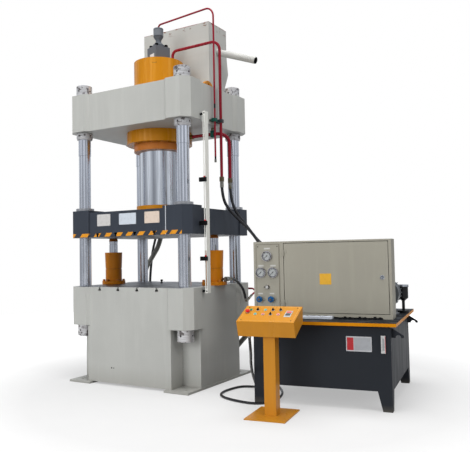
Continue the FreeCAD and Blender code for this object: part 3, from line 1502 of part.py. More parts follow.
def make_motor():
    """The finned motor on its feet behind the cabinet, and the pump on its bell housing."""
    x, z = "-motor_inset", "motor_axis"
    fan_front = "motor_front"
    body_front = "motor_front + motor_fan_length"
    body_length = "motor_length - motor_fan_length"
    core = cylinder("motor_core", "motor_diameter - 2 * motor_fin_height", body_length, x,
                    body_front, z, "y")
    fan = cylinder("motor_fan", "motor_fan_diameter", "motor_fan_length", x, fan_front, z, "y")
    fins = doc.addObject("PartDesign::Body", "motor_fins_body")
    fin = new_sketch(fins, "motor_fin", "XY_Plane")
    half = "motor_fin_sheet / 2"
    root, tip = "motor_diameter / 2 - 2 * motor_fin_height", "motor_diameter / 2"
    outline(fin, [(root, "-" + half), (tip, "-" + half), (tip, half), (root, half)])
    first = pad(fins, fin, body_length)
    ring = fins.newObject("PartDesign::PolarPattern", "motor_fin_ring")
    ring.Originals = [first]
    ring.Axis = (fin, ["N_Axis"])
    ring.Angle = 360
    link(ring, "Occurrences", "motor_fins")
    fins.Tip = ring
    facing_front(fins, x, "motor_front + motor_length", z)
    feet = box("motor_feet", (x + " - motor_foot_width / 2", x + " + motor_foot_width / 2"),
               (body_front + " + motor_foot_height", "motor_front + motor_length"
                " - motor_foot_height"), ("lid_top", "lid_top + motor_foot_height"))
    saddle = box("motor_saddle", (x + " - motor_foot_width / 3", x + " + motor_foot_width / 3"),
                 (body_front + " + motor_foot_height", "motor_front + motor_length"
                  " - motor_foot_height"), ("lid_top", "motor_axis - motor_diameter / 4"))
    terminals = box("motor_terminals", (x + " - motor_foot_width / 4", x + " + motor_foot_width / 4"),
                    (body_front + " + motor_foot_height", body_front + " + motor_foot_width / 2"),
                    (z, z + " + motor_diameter / 2 + 3 * motor_foot_height"))
    on_unit(fuse("motor", core, fan, fins, feet, saddle, terminals))
    bell_front = "motor_front + motor_length"
    bell = cylinder("pump_bell", "bell_diameter", "bell_length", x, bell_front, z, "y")
    case = cylinder("pump_case", "pump_diameter", "pump_length", x, bell_front + " + bell_length",
                    z, "y")
    middle = bell_front + " + bell_length + pump_length / 2"
    suction = cylinder("pump_suction", "pump_pipe", "motor_axis_rise", x, middle, "lid_top")
    on_unit(fuse("pump", bell, case, suction))


def make_manifold():
    """The valve manifold behind the cabinet, with two solenoid valves on its right side."""
    left = "-lid_width + manifold_left"
    right = left + " + manifold_width"
    front, rear = "manifold_front", "manifold_front + manifold_depth"
    block = box("manifold_block", (left, right), (front, rear),
                ("lid_top", "lid_top + manifold_height"))
    valves = []
    for step in (1, 2):
        level = "lid_top + manifold_height * %d / 3" % step
        seat = box("valve_seat_%d" % step, (right, right + " + manifold_valve"),
                   (front + " + manifold_valve / 2", rear + " - manifold_valve / 2"),
                   (level + " - manifold_valve / 2", level + " + manifold_valve"))
        coil = cylinder("valve_coil_%d" % step, "manifold_valve", "manifold_valve_length",
                        right + " + manifold_valve", front + " + manifold_depth / 2", level, "x")
        valves += [seat, coil]
    on_unit(fuse("valve_manifold", block, *valves))


def make_filter():
    """The return filter: a black bowl with a coned foot on a stem, under a flat head."""
    base = "lid_top + filter_base_height"
    bowl = base + " + filter_stem_height"
    top = bowl + " + filter_height"
    stem, shell = "filter_stem / 2", "filter_diameter / 2"
    piece = turned("filter_body", [
        ("0", "lid_top"), ("filter_base / 2", "lid_top"), ("filter_base / 2", base),
        (stem, base), (stem, bowl), (shell, bowl + " + filter_stem"), (shell, top),
        (shell + " + filter_head_height / 4", top),
        (shell + " + filter_head_height / 4", top + " + filter_head_height"),
        ("0", top + " + filter_head_height")])
    place(piece, "-filter_inset", "filter_rear")
    port = cylinder("filter_port", "filter_stem", "filter_diameter", "-filter_inset"
                    " - filter_diameter", "filter_rear", top + " + filter_head_height / 2", "x")
    on_unit(fuse("return_filter", piece, port))


# ---------------------------------------------------------------- pedestal console

SLOPE = "atan((console_rear_high - console_front_high) / console_depth)"
CONTROLS = {
    "emergency_stop": ("control_left - stop_offset", "control_middle"),
    "button_green": ("control_left - green_offset", "control_rear"),
    "button_1": ("control_left + control_pitch", "control_rear"),
    "button_2": ("control_left", "control_front"),
    "button_3": ("control_left + control_pitch", "control_front"),
    "button_4": ("control_left + 3 * control_pitch", "control_front"),
    "selector_1": ("control_left", "control_rear"),
    "selector_2": ("control_left + 2 * control_pitch", "control_rear"),
    "selector_3": ("control_left + 3 * control_pitch", "control_rear"),
    "selector_4": ("control_left + 2 * control_pitch", "control_front"),
}


def on_slope(thing, x, y):
    """Sets a piece built upright on the console's sloping top."""
    thing.Placement = FreeCAD.Placement(Vector(), FreeCAD.Rotation(Vector(1, 0, 0), 10))
    link(thing, "Placement.Rotation.Angle", SLOPE)
    return place(thing, x, y, "console_front_high + (%s + console_depth / 2)"
                 " * (console_rear_high - console_front_high) / console_depth" % y)


def make_console():
    """The console box with a collared hole for each control, on its post and base plate."""
    shell = console_prism("console_shell")
    collars, holes = [], []
    for name, (x, y) in CONTROLS.items():
        collars.append(on_slope(cylinder("collar_" + name, "collar_diameter", "collar_height"),
                                x, y))
        hole = turned("hole_" + name, [
            ("0", "-button_stem - 2 * button_travel"),
            ("button_diameter / 2 + fit_gap", "-button_stem - 2 * button_travel"),
            ("button_diameter / 2 + fit_gap", "collar_height * 2"), ("0", "collar_height * 2")])
        holes.append(on_slope(hole, x, y))
    on_console(cut("console_box", fuse("console_solid", shell, *collars), *holes))
    post = cut("stand_post",
               box("stand_post_bar", ("stand_post_x - stand_post / 2",
                                      "stand_post_x + stand_post / 2"),
                   ("-stand_post / 2", "stand_post / 2"), ("stand_plate", "console_rear_low")),
               shell)
    base = box("stand_base", ("stand_post_x - stand_plate_width / 2",
                              "stand_post_x + stand_plate_width / 2"),
               ("-stand_plate_depth / 2", "stand_plate_depth / 2"), ("0", "stand_plate"))
    on_console(fuse("console_stand", post, base))


def make_controls():
    """The emergency stop, the buttons and the selectors, each in its own collar."""
    stem, low, top = "button_diameter / 2", "-button_stem", "collar_height"
    heads = {
        "emergency": [(stem, top + " + stop_stand"), ("stop_diameter / 2", top + " + stop_stand"),
                      ("stop_diameter / 2", top + " + stop_stand + stop_height * 0.6"),
                      ("stop_diameter / 2 * 0.7", top + " + stop_stand + stop_height"),
                      ("0", top + " + stop_stand + stop_height")],
        "button": [(stem, top + " + button_height"), ("0", top + " + button_height")],
        "selector": [(stem, top + " + seat_gap"), ("selector_skirt / 2 + seat_gap",
                                                   top + " + seat_gap"),
                     ("selector_skirt / 2 + seat_gap", top + " + button_height"),
                     ("0", top + " + button_height")],
    }
    for name, (x, y) in CONTROLS.items():
        kind = name.split("_")[0]
        body = turned(name + "_body", [("0", low), (stem, low)] + heads[kind])
        if kind == "selector":
            grip = box(name + "_grip", ("-selector_grip / 2", "selector_grip / 2"),
                       ("-selector_skirt / 2", "selector_skirt / 2"),
                       (top, top + " + selector_height"))
            body = fuse(name + "_solid", body, grip)
        on_console(group(name, on_slope(body, x, y)))


# ---------------------------------------------------------------- hoses and the cable

# Points along each hose, chosen by hand in millimetres.
HOSE_UPPER = [
    (846, -20, 2106), (850, -10, 1982), (906, 16, 1866), (1040, 40, 1730), (1175, 50, 1600),
    (1270, 44, 1470), (1360, 30, 1360), (1440, 18, 1285), (1530, 23, 1231), (1621.7, 36, 1225)]
HOSE_LOWER = [
    (850, 150, 2106), (858, 152, 1980), (920, 158, 1830), (1040, 164, 1690), (1150, 168, 1545),
    (1290, 158, 1435), (1372, 138, 1330), (1435, 115, 1246), (1518, 112, 1195),
    (1609, 125.1, 1186)]
HOSE_BUFFER = [
    (860, 115, 1114), (861, 205, 1105), (866, 312, 1034), (871, 382, 965), (872, 407, 880)]
HOSE_REAR = [
    (-380, 722, 3330), (-394, 762, 2990), (-462, 794, 2640), (-538, 808, 2280),
    (-622, 818, 1940), (-700, 822, 1650), (-768, 822, 1440), (-795, 820, 1230),
    (-768, 768, 1100), (-738, 724, 990), (-735, 720, 880)]
RETURN_HOSE = [
    (-440, 722, 3330), (-452, 728, 2960), (-482, 730, 2560), (-498, 730, 2160),
    (-516, 734, 1800), (-590, 742, 1520), (-710, 746, 1365), (-835, 752, 1210),
    (-900, 770, 980), (-870, 790, 700), (-760, 790, 420), (-560, 780, 190), (-280, 765, 50),
    (0, 760, 34), (270, 760, 70), (480, 755, 200), (640, 752, 370), (790, 738, 500),
    (955, 692, 572), (1120, 631.6, 572), (1291.3, 655.7, 560)]
CONSOLE_CABLE = [
    (1700, -1009, 660), (1694, -985, 570), (1640, -880, 490), (1560, -740, 390),
    (1485, -580, 265), (1415, -400, 140), (1330, -200, 45), (1210, -70, 14), (1095, -105, 13),
    (1062, -240, 14), (1050, -400, 13), (1100, -540, 14), (1220, -625, 13), (1400, -680, 14),
    (1560, -690, 13), (1670, -600, 14), (1680, -450, 13), (1640, -266, 14), (1551, -90, 13),
    (1430, 60, 20), (1335, 140, 130), (1306, 168, 330), (1314, 162, 560), (1310, 170, 760),
    (1370, 130, 900), (1465, 46, 918), (1489.8, -73.7, 900)]


def in_unit(x, y, z):
    """The present place of a point given in the power unit's own frame."""
    turn = FreeCAD.Rotation(Vector(0, 0, 1), num("unit_yaw"))
    return turn.multVec(spot(x, y, z)) + spot("unit_x", "unit_y", "0")


def between(points, start, end):
    """The points of a hose, shifted along it so that it meets the fittings at its ends."""
    first, last = start - Vector(*points[0]), end - Vector(*points[-1])
    count = len(points) - 1
    return [Vector(*point) + first * (1 - i / count) + last * (i / count)
            for i, point in enumerate(points)]


def make_hoses():
    """The hoses and the cable as round tubes with straight ends."""
    stub_y, stub_z = "prefill_front + hose_stub_y", "crown_top + hose_stub_end"
    port_x = "-lid_width + manifold_left - hose_end_drop"
    elbow_end = "bed_top - rear_elbow_drop + hose_end_drop"
    turn = FreeCAD.Rotation(Vector(0, 0, 1), num("unit_yaw"))
    console = spot("console_x", "console_y", "0")
    console_end = turn.multVec(spot("-console_gland_x", "-console_gland_y",
                                    "console_front_low - console_gland_drop")) + console
    ends = {
        "hose_upper": (
            "hose_diameter", HOSE_UPPER,
            spot("riser_x", "riser_y", "crown_low - upper_end_drop - hose_end_drop"),
            in_unit(port_x, "manifold_front + port_upper_y", "lid_top + port_upper_rise")),
        "hose_lower": (
            "hose_diameter", HOSE_LOWER,
            spot("lower_x", "lower_y", "crown_low - lower_end_drop - hose_end_drop"),
            in_unit(port_x, "manifold_front + port_lower_y", "lid_top + port_lower_rise")),
        "hose_buffer": (
            "buffer_hose", HOSE_BUFFER,
            spot("buffer_x + buffer_elbow_reach", "buffer_elbow_end + hose_ferrule_height",
                 "bed_top + buffer_port_rise"),
            from_bed_corner(BUFFER_ELBOW)[0]),
        "hose_rear": (
            "hose_diameter", HOSE_REAR, spot("-rear_stub_x", stub_y, stub_z),
            spot("-rear_elbow_x", "half_depth + rear_elbow_reach", elbow_end)),
        "return_hose": (
            "return_hose", RETURN_HOSE, spot("-return_stub_x", stub_y, stub_z),
            in_unit("-lid_width + lid_overhang - return_port_length", "return_port_y",
                    "lid_low - return_port_drop")),
        "console_cable": (
            "cable_diameter", CONSOLE_CABLE, console_end,
            in_unit("-lid_width + cabinet_gland_x",
                    "cabinet_front + cabinet_depth + gland_fitting_height",
                    "cabinet_low + cabinet_gland_rise")),
    }
    for label, (size, points, start, end) in ends.items():
        print("%s: ends off by %.2f and %.2f" % (
            label, (start - Vector(*points[0])).Length, (end - Vector(*points[-1])).Length))
        node(tube(label, size, between(points, start, end)))


make_bed()
make_crown()
make_columns()
make_nuts()
make_lugs()
make_cylinder()
make_screws()
make_ram()
make_slide()
make_bushes()
make_buffers()
make_prefill_valve()
make_prefill_tank()
make_pipes()
make_clamps()
make_fittings()
make_rail()
make_switches()
make_oil_tank()
make_lid()
make_cabinet()
make_door()
make_gauges()
make_panel_controls()
make_motor()
make_manifold()
make_filter()
make_console()
make_controls()
make_hoses()

doc.recompute()
faults = [item.Label for item in doc.Objects if "Invalid" in item.State or "Error" in item.State]
if faults:
    raise RuntimeError("did not compute: " + ", ".join(faults))
for item in nodes:
    if item.Shape.isNull() or not item.Shape.isValid():
        raise RuntimeError("no valid shape: " + item.Label)
    item.Shape.exportStep("parts/%s.step" % item.Label)
    print("%-18s solids %d volume %.1f l" % (item.Label, len(item.Shape.Solids),
                                             item.Shape.Volume / 1e6))
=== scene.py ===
import math

import bmesh
import bpy
from mathutils import Matrix, Quaternion, Vector


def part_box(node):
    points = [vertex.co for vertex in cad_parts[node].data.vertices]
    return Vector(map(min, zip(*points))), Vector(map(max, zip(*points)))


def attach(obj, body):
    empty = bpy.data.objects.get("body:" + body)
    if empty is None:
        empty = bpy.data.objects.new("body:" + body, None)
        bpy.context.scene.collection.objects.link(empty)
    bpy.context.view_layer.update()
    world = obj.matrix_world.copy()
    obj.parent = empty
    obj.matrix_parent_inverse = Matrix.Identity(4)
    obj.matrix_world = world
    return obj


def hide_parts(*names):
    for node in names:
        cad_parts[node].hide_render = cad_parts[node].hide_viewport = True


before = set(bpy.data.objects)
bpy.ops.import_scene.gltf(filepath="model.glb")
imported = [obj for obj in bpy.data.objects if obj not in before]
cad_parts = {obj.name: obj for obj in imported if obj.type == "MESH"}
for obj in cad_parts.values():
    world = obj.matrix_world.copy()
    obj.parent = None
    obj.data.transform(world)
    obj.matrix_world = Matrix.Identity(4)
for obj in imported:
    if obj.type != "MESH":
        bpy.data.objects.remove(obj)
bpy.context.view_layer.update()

# ------------------------------------------------------------------ bed
# The bed is a welded plate box on two foot plates, sprayed light grey. Its top is machined
# and oiled, with four T-slots from front to rear that hold the lower die.

BED_TOP, BED_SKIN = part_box("bed")[1][2], 0.0005
TABLE_HALF_WIDTH = 0.716


def card(red, green, blue):
    """A colour of the paint card, given in eight-bit steps, as linear light."""
    return tuple((v / 255 / 12.92 if v <= 10 else ((v / 255 + 0.055) / 1.055) ** 2.4)
                 for v in (red, green, blue)) + (1.0,)


def deeper(colour, share):
    """The same colour with a share of its light: under 1 darker, over 1 paler."""
    return tuple(min(1.0, v * share) for v in colour[:3]) + (1.0,)


def feed(socket, source):
    """Sets a socket to a value, or links it to the output that feeds it."""
    if isinstance(source, bpy.types.NodeSocket):
        socket.id_data.links.new(source, socket)
    else:
        socket.default_value = source


def step(tree, kind, settings=None, **sockets):
    """One step of a finish, with its settings made and its sockets fed."""
    made = tree.nodes.new("ShaderNode" + kind)
    for name, value in (settings or {}).items():
        setattr(made, name, value)
    for name, source in sockets.items():
        feed(made.inputs[name.replace("_", " ")], source)
    return made


def reckon(operation, first, second=0.0, third=0.0, kind="Math"):
    """One sum on values, places or directions of the surface."""
    sources = (first, second, third)
    tree = next(v for v in sources if isinstance(v, bpy.types.NodeSocket)).id_data
    made = step(tree, kind, {"operation": operation})
    for socket, source in zip(made.inputs, sources):
        if socket.enabled:
            feed(socket, source)
    return next(out for out in made.outputs if out.enabled)


def both(first, second):
    """One value times another. Of two masks, it is where both hold."""
    return reckon("MULTIPLY", first, second)


def spread(value, low, high, to_low=0.0, to_high=1.0):
    """A value's range laid over another range, and held at its ends."""
    return step(value.id_data, "MapRange", From_Min=low, From_Max=high, To_Min=to_low,
                To_Max=to_high, Value=value).outputs["Result"]


def tint(under, over, amount):
    """One colour laid over another by an amount."""
    return step(amount.id_data, "Mix", {"data_type": "RGBA"}, A=under, B=over,
                Factor=amount).outputs["Result"]


def start(name, roughness, metallic=0.0, shine=0.5):
    """A new finish: its material, its tree, its shader and the surface's own place."""
    finish = bpy.data.materials.new(name)
    finish.use_nodes = True
    tree = finish.node_tree
    shader = tree.nodes["Principled BSDF"]
    for socket, value in (("Roughness", roughness), ("Metallic", metallic),
                          ("Specular IOR Level", shine)):
        shader.inputs[socket].default_value = value
    return finish, tree, shader, tree.nodes.new("ShaderNodeTexCoord").outputs["Object"]


def cloud(where, scale, detail=4.0, stretch=(1, 1, 1)):
    """An uneven cloud over the surface, drawn out along an axis for runs or brush marks."""
    moved = step(where.id_data, "Mapping", Vector=where, Scale=stretch)
    return step(where.id_data, "TexNoise", Vector=moved.outputs["Vector"], Scale=scale,
                Detail=detail).outputs["Fac"]


def along(where, axis):
    """How far a point of the surface lies along X, Y or Z."""
    return step(where.id_data, "SeparateXYZ", Vector=where).outputs[axis]


def past(where, axis, limit):
    """1 where the surface lies past a limit along X, Y or Z, and 0 before it."""
    return reckon("GREATER_THAN", along(where, axis), limit)


def within(value, low, high):
    """1 where a value lies between two limits, and 0 elsewhere."""
    return reckon("COMPARE", value, (low + high) / 2, (high - low) / 2)


def facing(tree):
    """The surface's own direction, before its edges are broken."""
    return step(tree, "NewGeometry").outputs["Normal"]


def rounded_edges(tree, radius):
    """The surface's direction with its edges broken, and how sharp the edge is there."""
    broken = step(tree, "Bevel", {"samples": 4}, Radius=radius).outputs["Normal"]
    return broken, spread(reckon("DOT_PRODUCT", broken, facing(tree), kind="VectorMath"),
                          0.985, 0.90)


def shaded_hollows(tree, reach):
    """1 deep in slots, holes and corners, where shade falls, and 0 in the open: the mask of painted
    shade.
    """
    shade = step(tree, "AmbientOcclusion", {"samples": 6}, Distance=reach).outputs["AO"]
    return spread(shade, 0.55, 0.12)


def coat(shader, colour, roughness):
    """Gives a finish its colour and its roughness."""
    feed(shader.inputs["Base Color"], colour)
    feed(shader.inputs["Roughness"], roughness)


def grain(shader, **sockets):
    """Raises a fine grain on the surface."""
    feed(shader.inputs["Normal"], step(shader.id_data, "Bump", **sockets).outputs["Normal"])


def sprayed(name, colour, roughness=0.40, edge=0.003, worn=None, wear=0.3, hollow_shade=0.75,
            peel=0.10, foot=0.0, reach=0.05, shine=0.25):
    """Sprayed machine paint: faint clouds and runs, rubbed edges, painted shade in hollows, and
    towards the floor a dusty brown, partly dust and partly painted shade.
    """
    finish, tree, shader, where = start(name, roughness, shine=shine)
    runs = cloud(where, 4.0, 3.0, (4, 4, 0.4))
    body = tint(colour, deeper(colour, 0.91),
                spread(cloud(where, 1.8, 5.0), 0.40, 0.62, 0.0, 0.6))
    body = tint(body, deeper(colour, 1.06), spread(runs, 0.50, 0.70, 0.0, 0.55))
    broken, sharp = rounded_edges(tree, edge)
    chips = both(sharp, spread(cloud(where, 26.0, 5.0), 0.48, 0.60, 0.25, 1.0))
    body = tint(body, worn or deeper(colour, 1.35), both(chips, wear))
    # Painted shade: the paint darkened deep in slots, holes and corners.
    body = tint(body, deeper(colour, 0.12), both(shaded_hollows(tree, reach), hollow_shade))
    # Towards the floor a dusty brown: dust, and on pale paint also painted shade, darker towards the
    # bottom.
    if foot:
        body = tint(body, card(122, 116, 104), spread(along(where, "Z"), foot, 0.0, 0.0, 0.30))
    coat(shader, body, spread(runs, 0.3, 0.7, roughness - 0.06, roughness + 0.09))
    grain(shader, Strength=peel, Distance=0.0012, Height=cloud(where, 95.0, 2.0), Normal=broken)
    return finish


def lay_over(finish, mask, colour, roughness, metallic=0.0):
    """Another finish over the part of a piece where the mask is 1."""
    sockets = finish.node_tree.nodes["Principled BSDF"].inputs
    for name, over in (("Base Color", colour), ("Roughness", roughness), ("Metallic", metallic)):
        socket = sockets[name]
        if name == "Metallic" and not socket.is_linked and socket.default_value == over:
            continue
        under = socket.links[0].from_socket if socket.is_linked else socket.default_value
        kind = "RGBA" if name == "Base Color" else "FLOAT"
        feed(socket, step(mask.id_data, "Mix", {"data_type": kind}, A=under, B=over,
                          Factor=mask).outputs["Result"])


def place_of(finish):
    """The surface's own place, in a finish that is already made."""
    return finish.node_tree.nodes["Texture Coordinate"].outputs["Object"]


def dress(finish, *names):
    """Gives a finish to pieces of the frame."""
    for name in names:
        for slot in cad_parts[name].material_slots:
            slot.material = finish


FRAME_GREY = card(184, 185, 181)
bed_paint = sprayed("bed_paint", FRAME_GREY, foot=0.22)
where = place_of(bed_paint)
across = reckon("ABSOLUTE", along(where, "X"))
table = both(reckon("LESS_THAN", across, TABLE_HALF_WIDTH), past(where, "Z", BED_TOP - BED_SKIN))
lay = cloud(where, 7.0, 4.0, (1, 14, 1))
oil = cloud(where, 2.4, 4.0, (1, 2, 1))
table_steel = tint(card(92, 93, 96), card(150, 151, 154), spread(lay, 0.42, 0.66))
table_steel = tint(table_steel, card(60, 58, 56), spread(oil, 0.50, 0.66, 0.0, 0.7))
lay_over(bed_paint, table, table_steel, spread(oil, 0.35, 0.65, 0.46, 0.30), 0.75)
dress(bed_paint, "bed")


def at(x, y, z):
    """A place, not turned."""
    return Matrix.Translation((x, y, z))


def put(name, data):
    """Sets a new object in the scene, with its mesh, line, lamp or camera."""
    made = bpy.data.objects.new(name, data)
    bpy.context.scene.collection.objects.link(made)
    return made


def meshed(name, shape, finish):
    """A new object of a worked shape, its faces turned outwards, with its finish."""
    mesh = bpy.data.meshes.new(name)
    bmesh.ops.recalc_face_normals(shape, faces=shape.faces)
    shape.to_mesh(mesh)
    shape.free()
    mesh.materials.append(finish)
    return put(name, mesh)


def worked(name, shape, place, finish, body="frame"):
    """A worked shape, set in its place, given its finish and carried by a body."""
    shape.transform(place)
    piece = meshed(name, shape, finish)
    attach(piece, body)


def turn(shape, profile, steps=24, place=Matrix()):
    """Turns a half profile of (radius, height) points about the Z axis."""
    rings = []
    for radius, height in profile:
        turns = [math.tau * i / steps for i in range(steps if radius else 1)]
        rings.append([shape.verts.new(place @ Vector((
            radius * math.cos(a), radius * math.sin(a), height))) for a in turns])
    for lower, upper in zip(rings, rings[1:]):
        for i in range(steps):
            j = (i + 1) % steps
            corners = [lower[i % len(lower)], lower[j % len(lower)],
                       upper[j % len(upper)], upper[i % len(upper)]]
            shape.faces.new(list(dict.fromkeys(corners)))
    return shape


def upright(x, y, z):
    """The place of a plate whose face looks to the front."""
    return at(x, y, z) @ Matrix(((1, 0, 0, 0), (0, 0, -1, 0), (0, 1, 0, 0), (0, 0, 0, 1)))


def screw_profile(radius, height):
    """Half the section of a domed screw head, standing on its seat."""
    return [(radius, 0), (radius, height * 0.35), (radius * 0.86, height * 0.75),
            (radius * 0.5, height), (0, height)]


def bright_steel(name, colour, roughness):
    """Plain plated steel of screws and rims, faintly uneven and scratched."""
    finish, _, shader, where = start(name, roughness, 1.0)
    marks = cloud(where, 60.0, 4.0, (1, 1, 6))
    coat(shader, tint(colour, deeper(colour, 0.6), spread(marks, 0.45, 0.7)),
         spread(marks, 0.3, 0.7, roughness * 0.7, roughness * 1.4))
    return finish


dark_steel = bright_steel("dark_screw_steel", card(70, 68, 66), 0.45)
EYE_X, EYE_Y = -0.204, 0.271
eye_bolt = turn(bmesh.new(), [(0.017, 0), (0.017, 0.006), (0.009, 0.009), (0.009, 0.022),
                              (0.015, 0.026), (0.017, 0.034), (0.012, 0.043), (0, 0.045)])
worked("table_eye_bolt", eye_bolt, at(EYE_X, EYE_Y, BED_TOP), dark_steel)
# Two small dark domes on the bed's front, where it has two small holes: their darkness is painted
# shade in the holes.
BED_FRONT, HOLE_DOT_Z, HOLE_DOT_HEIGHT = -0.603, 0.185, 0.003
hole_dots = bmesh.new()
for x, radius in ((-0.227, 0.008), (-0.196, 0.006)):
    turn(hole_dots, screw_profile(radius, HOLE_DOT_HEIGHT), 16, upright(x, BED_FRONT, HOLE_DOT_Z))
worked("bed_front_hole_dots", hole_dots, Matrix(), dark_steel)

# ------------------------------------------------------------------ columns and nuts
# Four ground and plated steel columns carry the crown over the bed. Turned round nuts with
# tommy holes hold them below the bed and on the crown, and lipped rings lock them under it.


def ground_steel(name, colour, roughness, stretch, dark=0.72, stain=None, hollow_shade=0.9, ripple=0.0,
                 metallic=1.0):
    """Turned, ground or plated steel: fine rings, oil film, and painted shade down in its holes."""
    finish, tree, shader, where = start(name, roughness, metallic)
    rings = cloud(where, 9.0, 4.0, stretch)
    film = cloud(where, 2.6, 4.0, (1, 1, 0.35))
    body = tint(colour, deeper(colour, dark), spread(rings, 0.40, 0.68))
    if stain:
        body = tint(body, stain, spread(cloud(where, 24.0, 5.0), 0.54, 0.62, 0.0, 0.85))
    # Painted shade: near black down in holes and slots.
    body = tint(body, card(18, 17, 16), both(shaded_hollows(tree, 0.03), hollow_shade))
    coat(shader, body, reckon("ADD", spread(rings, 0.3, 0.7, roughness * 0.7, roughness * 1.2),
                              spread(film, 0.45, 0.65, 0.0, roughness * 0.5)))
    if ripple:
        grain(shader, Strength=ripple, Distance=0.0004, Height=rings,
              Normal=rounded_edges(tree, 0.0015)[0])
    return finish


dress(ground_steel("plated_column", card(222, 225, 232), 0.17, (9, 9, 0.3), 0.85), "columns")
dress(ground_steel("turned_nut_steel", card(216, 215, 216), 0.42, (1, 1, 22), 0.62,
                   card(70, 60, 58), ripple=0.15, metallic=0.6), "column_nuts")

# ------------------------------------------------------------------ crown and lugs
# The crown is a welded plate box of the bed's outline, in the same grey. Two half-round
# lifting lugs, flame cut from plate and painted orange, are welded on its top.

dress(sprayed("crown_paint", FRAME_GREY), "crown")
ORANGE, ORANGE_WORN = card(192, 124, 10), card(214, 168, 96)
dress(sprayed("orange_paint", ORANGE, 0.34, worn=ORANGE_WORN, peel=0.05), "lifting_lugs")

# ------------------------------------------------------------------ cylinder and ram
# A forged barrel with a flange under the crown and a bolted gland, all sprayed orange over
# turned surfaces. The ram is chrome plated, and an orange ring clamps its foot to the slide.

# A thin dark dash, slightly curved, across the barrel's front.
DASH_LEFT, DASH_RIGHT, DASH_LOW, DASH_HIGH, DASH_SAG = 0.104, 0.156, 3.539, 3.546, 0.25
barrel_paint = sprayed("barrel_paint", ORANGE, 0.24, worn=ORANGE_WORN, peel=0.05)
where = place_of(barrel_paint)
from_middle = reckon("SUBTRACT", along(where, "X"), (DASH_LEFT + DASH_RIGHT) / 2)
sag = both(reckon("ABSOLUTE", from_middle), DASH_SAG)
dark_dash = both(within(along(where, "X"), DASH_LEFT, DASH_RIGHT),
              within(reckon("SUBTRACT", along(where, "Z"), sag), DASH_LOW, DASH_HIGH))
lay_over(barrel_paint, dark_dash, card(96, 62, 22), 0.6)
# Painted highlights: lighter, glossier streaks running down the barrel.
painted_highlight_streaks = spread(cloud(where, 7.0, 4.0, (3, 3, 0.12)), 0.52, 0.66, 0.0, 0.45)
lay_over(barrel_paint, painted_highlight_streaks, card(216, 156, 66), 0.20)
dress(barrel_paint, "main_cylinder")
dress(sprayed("flange_paint", card(188, 114, 46), 0.30, worn=card(206, 152, 84), peel=0.05),
      "cylinder_gland", "cap_screws")
dress(sprayed("ring_paint", card(206, 134, 16), 0.30, worn=ORANGE_WORN, peel=0.05), "ram_flange")
dress(ground_steel("chromed_ram", card(218, 221, 226), 0.14, (9, 9, 0.25), 0.80), "main_ram")

# ------------------------------------------------------------------ slide
# The slide is a thick block in dark blue-grey that rides the columns on four turned bushes.
# Its front carries three bare plates and a row of orange hazard stripes along its foot.

SLIDE_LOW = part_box("slide")[0][2]
FRONT_OUTLINE = ((-0.745, -0.641), (-0.508, -0.641), (-0.508, -0.629), (0.508, -0.629),
                 (0.508, -0.641), (0.745, -0.641))
SLIDE_FRONT = FRONT_OUTLINE[2][1]
STRIPE_LOW, STRIPE_RISE, STRIPE_LEAN = SLIDE_LOW + 0.002, 0.040, 0.035
SLOT_LIP = SLIDE_LOW + 0.024

slide_paint = sprayed("slide_paint", card(58, 63, 72), 0.40, worn=card(100, 104, 110),
                      wear=0.35, hollow_shade=0.85, shine=0.15)
# Painted highlight: a light strip down the front of the right boss, near its step, where an edge
# catches the light.
GLINT_LEFT, GLINT_RIGHT, GLINT_REAR = 0.541, 0.550, -0.62
where = place_of(slide_paint)
painted_edge_highlight = both(within(along(where, "X"), GLINT_LEFT, GLINT_RIGHT),
                 reckon("LESS_THAN", along(where, "Y"), GLINT_REAR))
lay_over(slide_paint, painted_edge_highlight, card(196, 200, 206), 0.35, 0.0)
dress(slide_paint, "slide")
dress(ground_steel("bush_steel", card(200, 200, 202), 0.30, (1, 1, 22), 0.75), "guide_bushes")


def trimmed(points, axis, limit, side):
    """The part of an outline that lies on one side of a straight cut."""
    kept = []
    points = list(points)
    for first, second in zip(points, points[1:] + points[:1]):
        near, far = ((p[axis] - limit) * side >= 0 for p in (first, second))
        if near:
            kept.append(first)
        if near != far:
            share = (limit - first[axis]) / (second[axis] - first[axis])
            kept.append(tuple(a + (b - a) * share for a, b in zip(first, second)))
    return kept


def stamp(shape, outline, thickness, place=Matrix()):
    """A flat piece cut from sheet by its outline, with its upper edge broken."""
    edge = min(0.0006, thickness / 3)
    centre = Vector((sum(p[0] for p in outline), sum(p[1] for p in outline))) / len(outline)
    layers = []
    for height, inset in ((0, 0), (thickness - edge, 0), (thickness, edge)):
        ring = []
        for p in outline:
            inwards = (centre - Vector(p)).normalized() * inset
            ring.append(shape.verts.new(place @ Vector((p[0] + inwards.x, p[1] + inwards.y,
                                                        height))))
        layers.append(ring)
    for lower, upper in zip(layers, layers[1:]):
        for i in range(len(outline)):
            j = (i + 1) % len(outline)
            shape.faces.new((lower[i], lower[j], upper[j], upper[i]))
    shape.faces.new(layers[-1])
    shape.faces.new(list(reversed(layers[0])))
    return shape


def rounded(width, height, radius, corner=4):
    """The outline of a plate with rounded corners, about its own middle."""
    outline = []
    for quarter, (side, rise) in enumerate(((1, 1), (-1, 1), (-1, -1), (1, -1))):
        for i in range(corner + 1):
            swing = math.pi / 2 * (quarter + i / corner)
            outline.append((side * (width / 2 - radius) + radius * math.cos(swing),
                            rise * (height / 2 - radius) + radius * math.sin(swing)))
    return outline


def sheet(width, height, radius, thickness):
    """A plate with rounded corners, cut from sheet, about its own middle."""
    return stamp(bmesh.new(), rounded(width, height, radius), thickness)


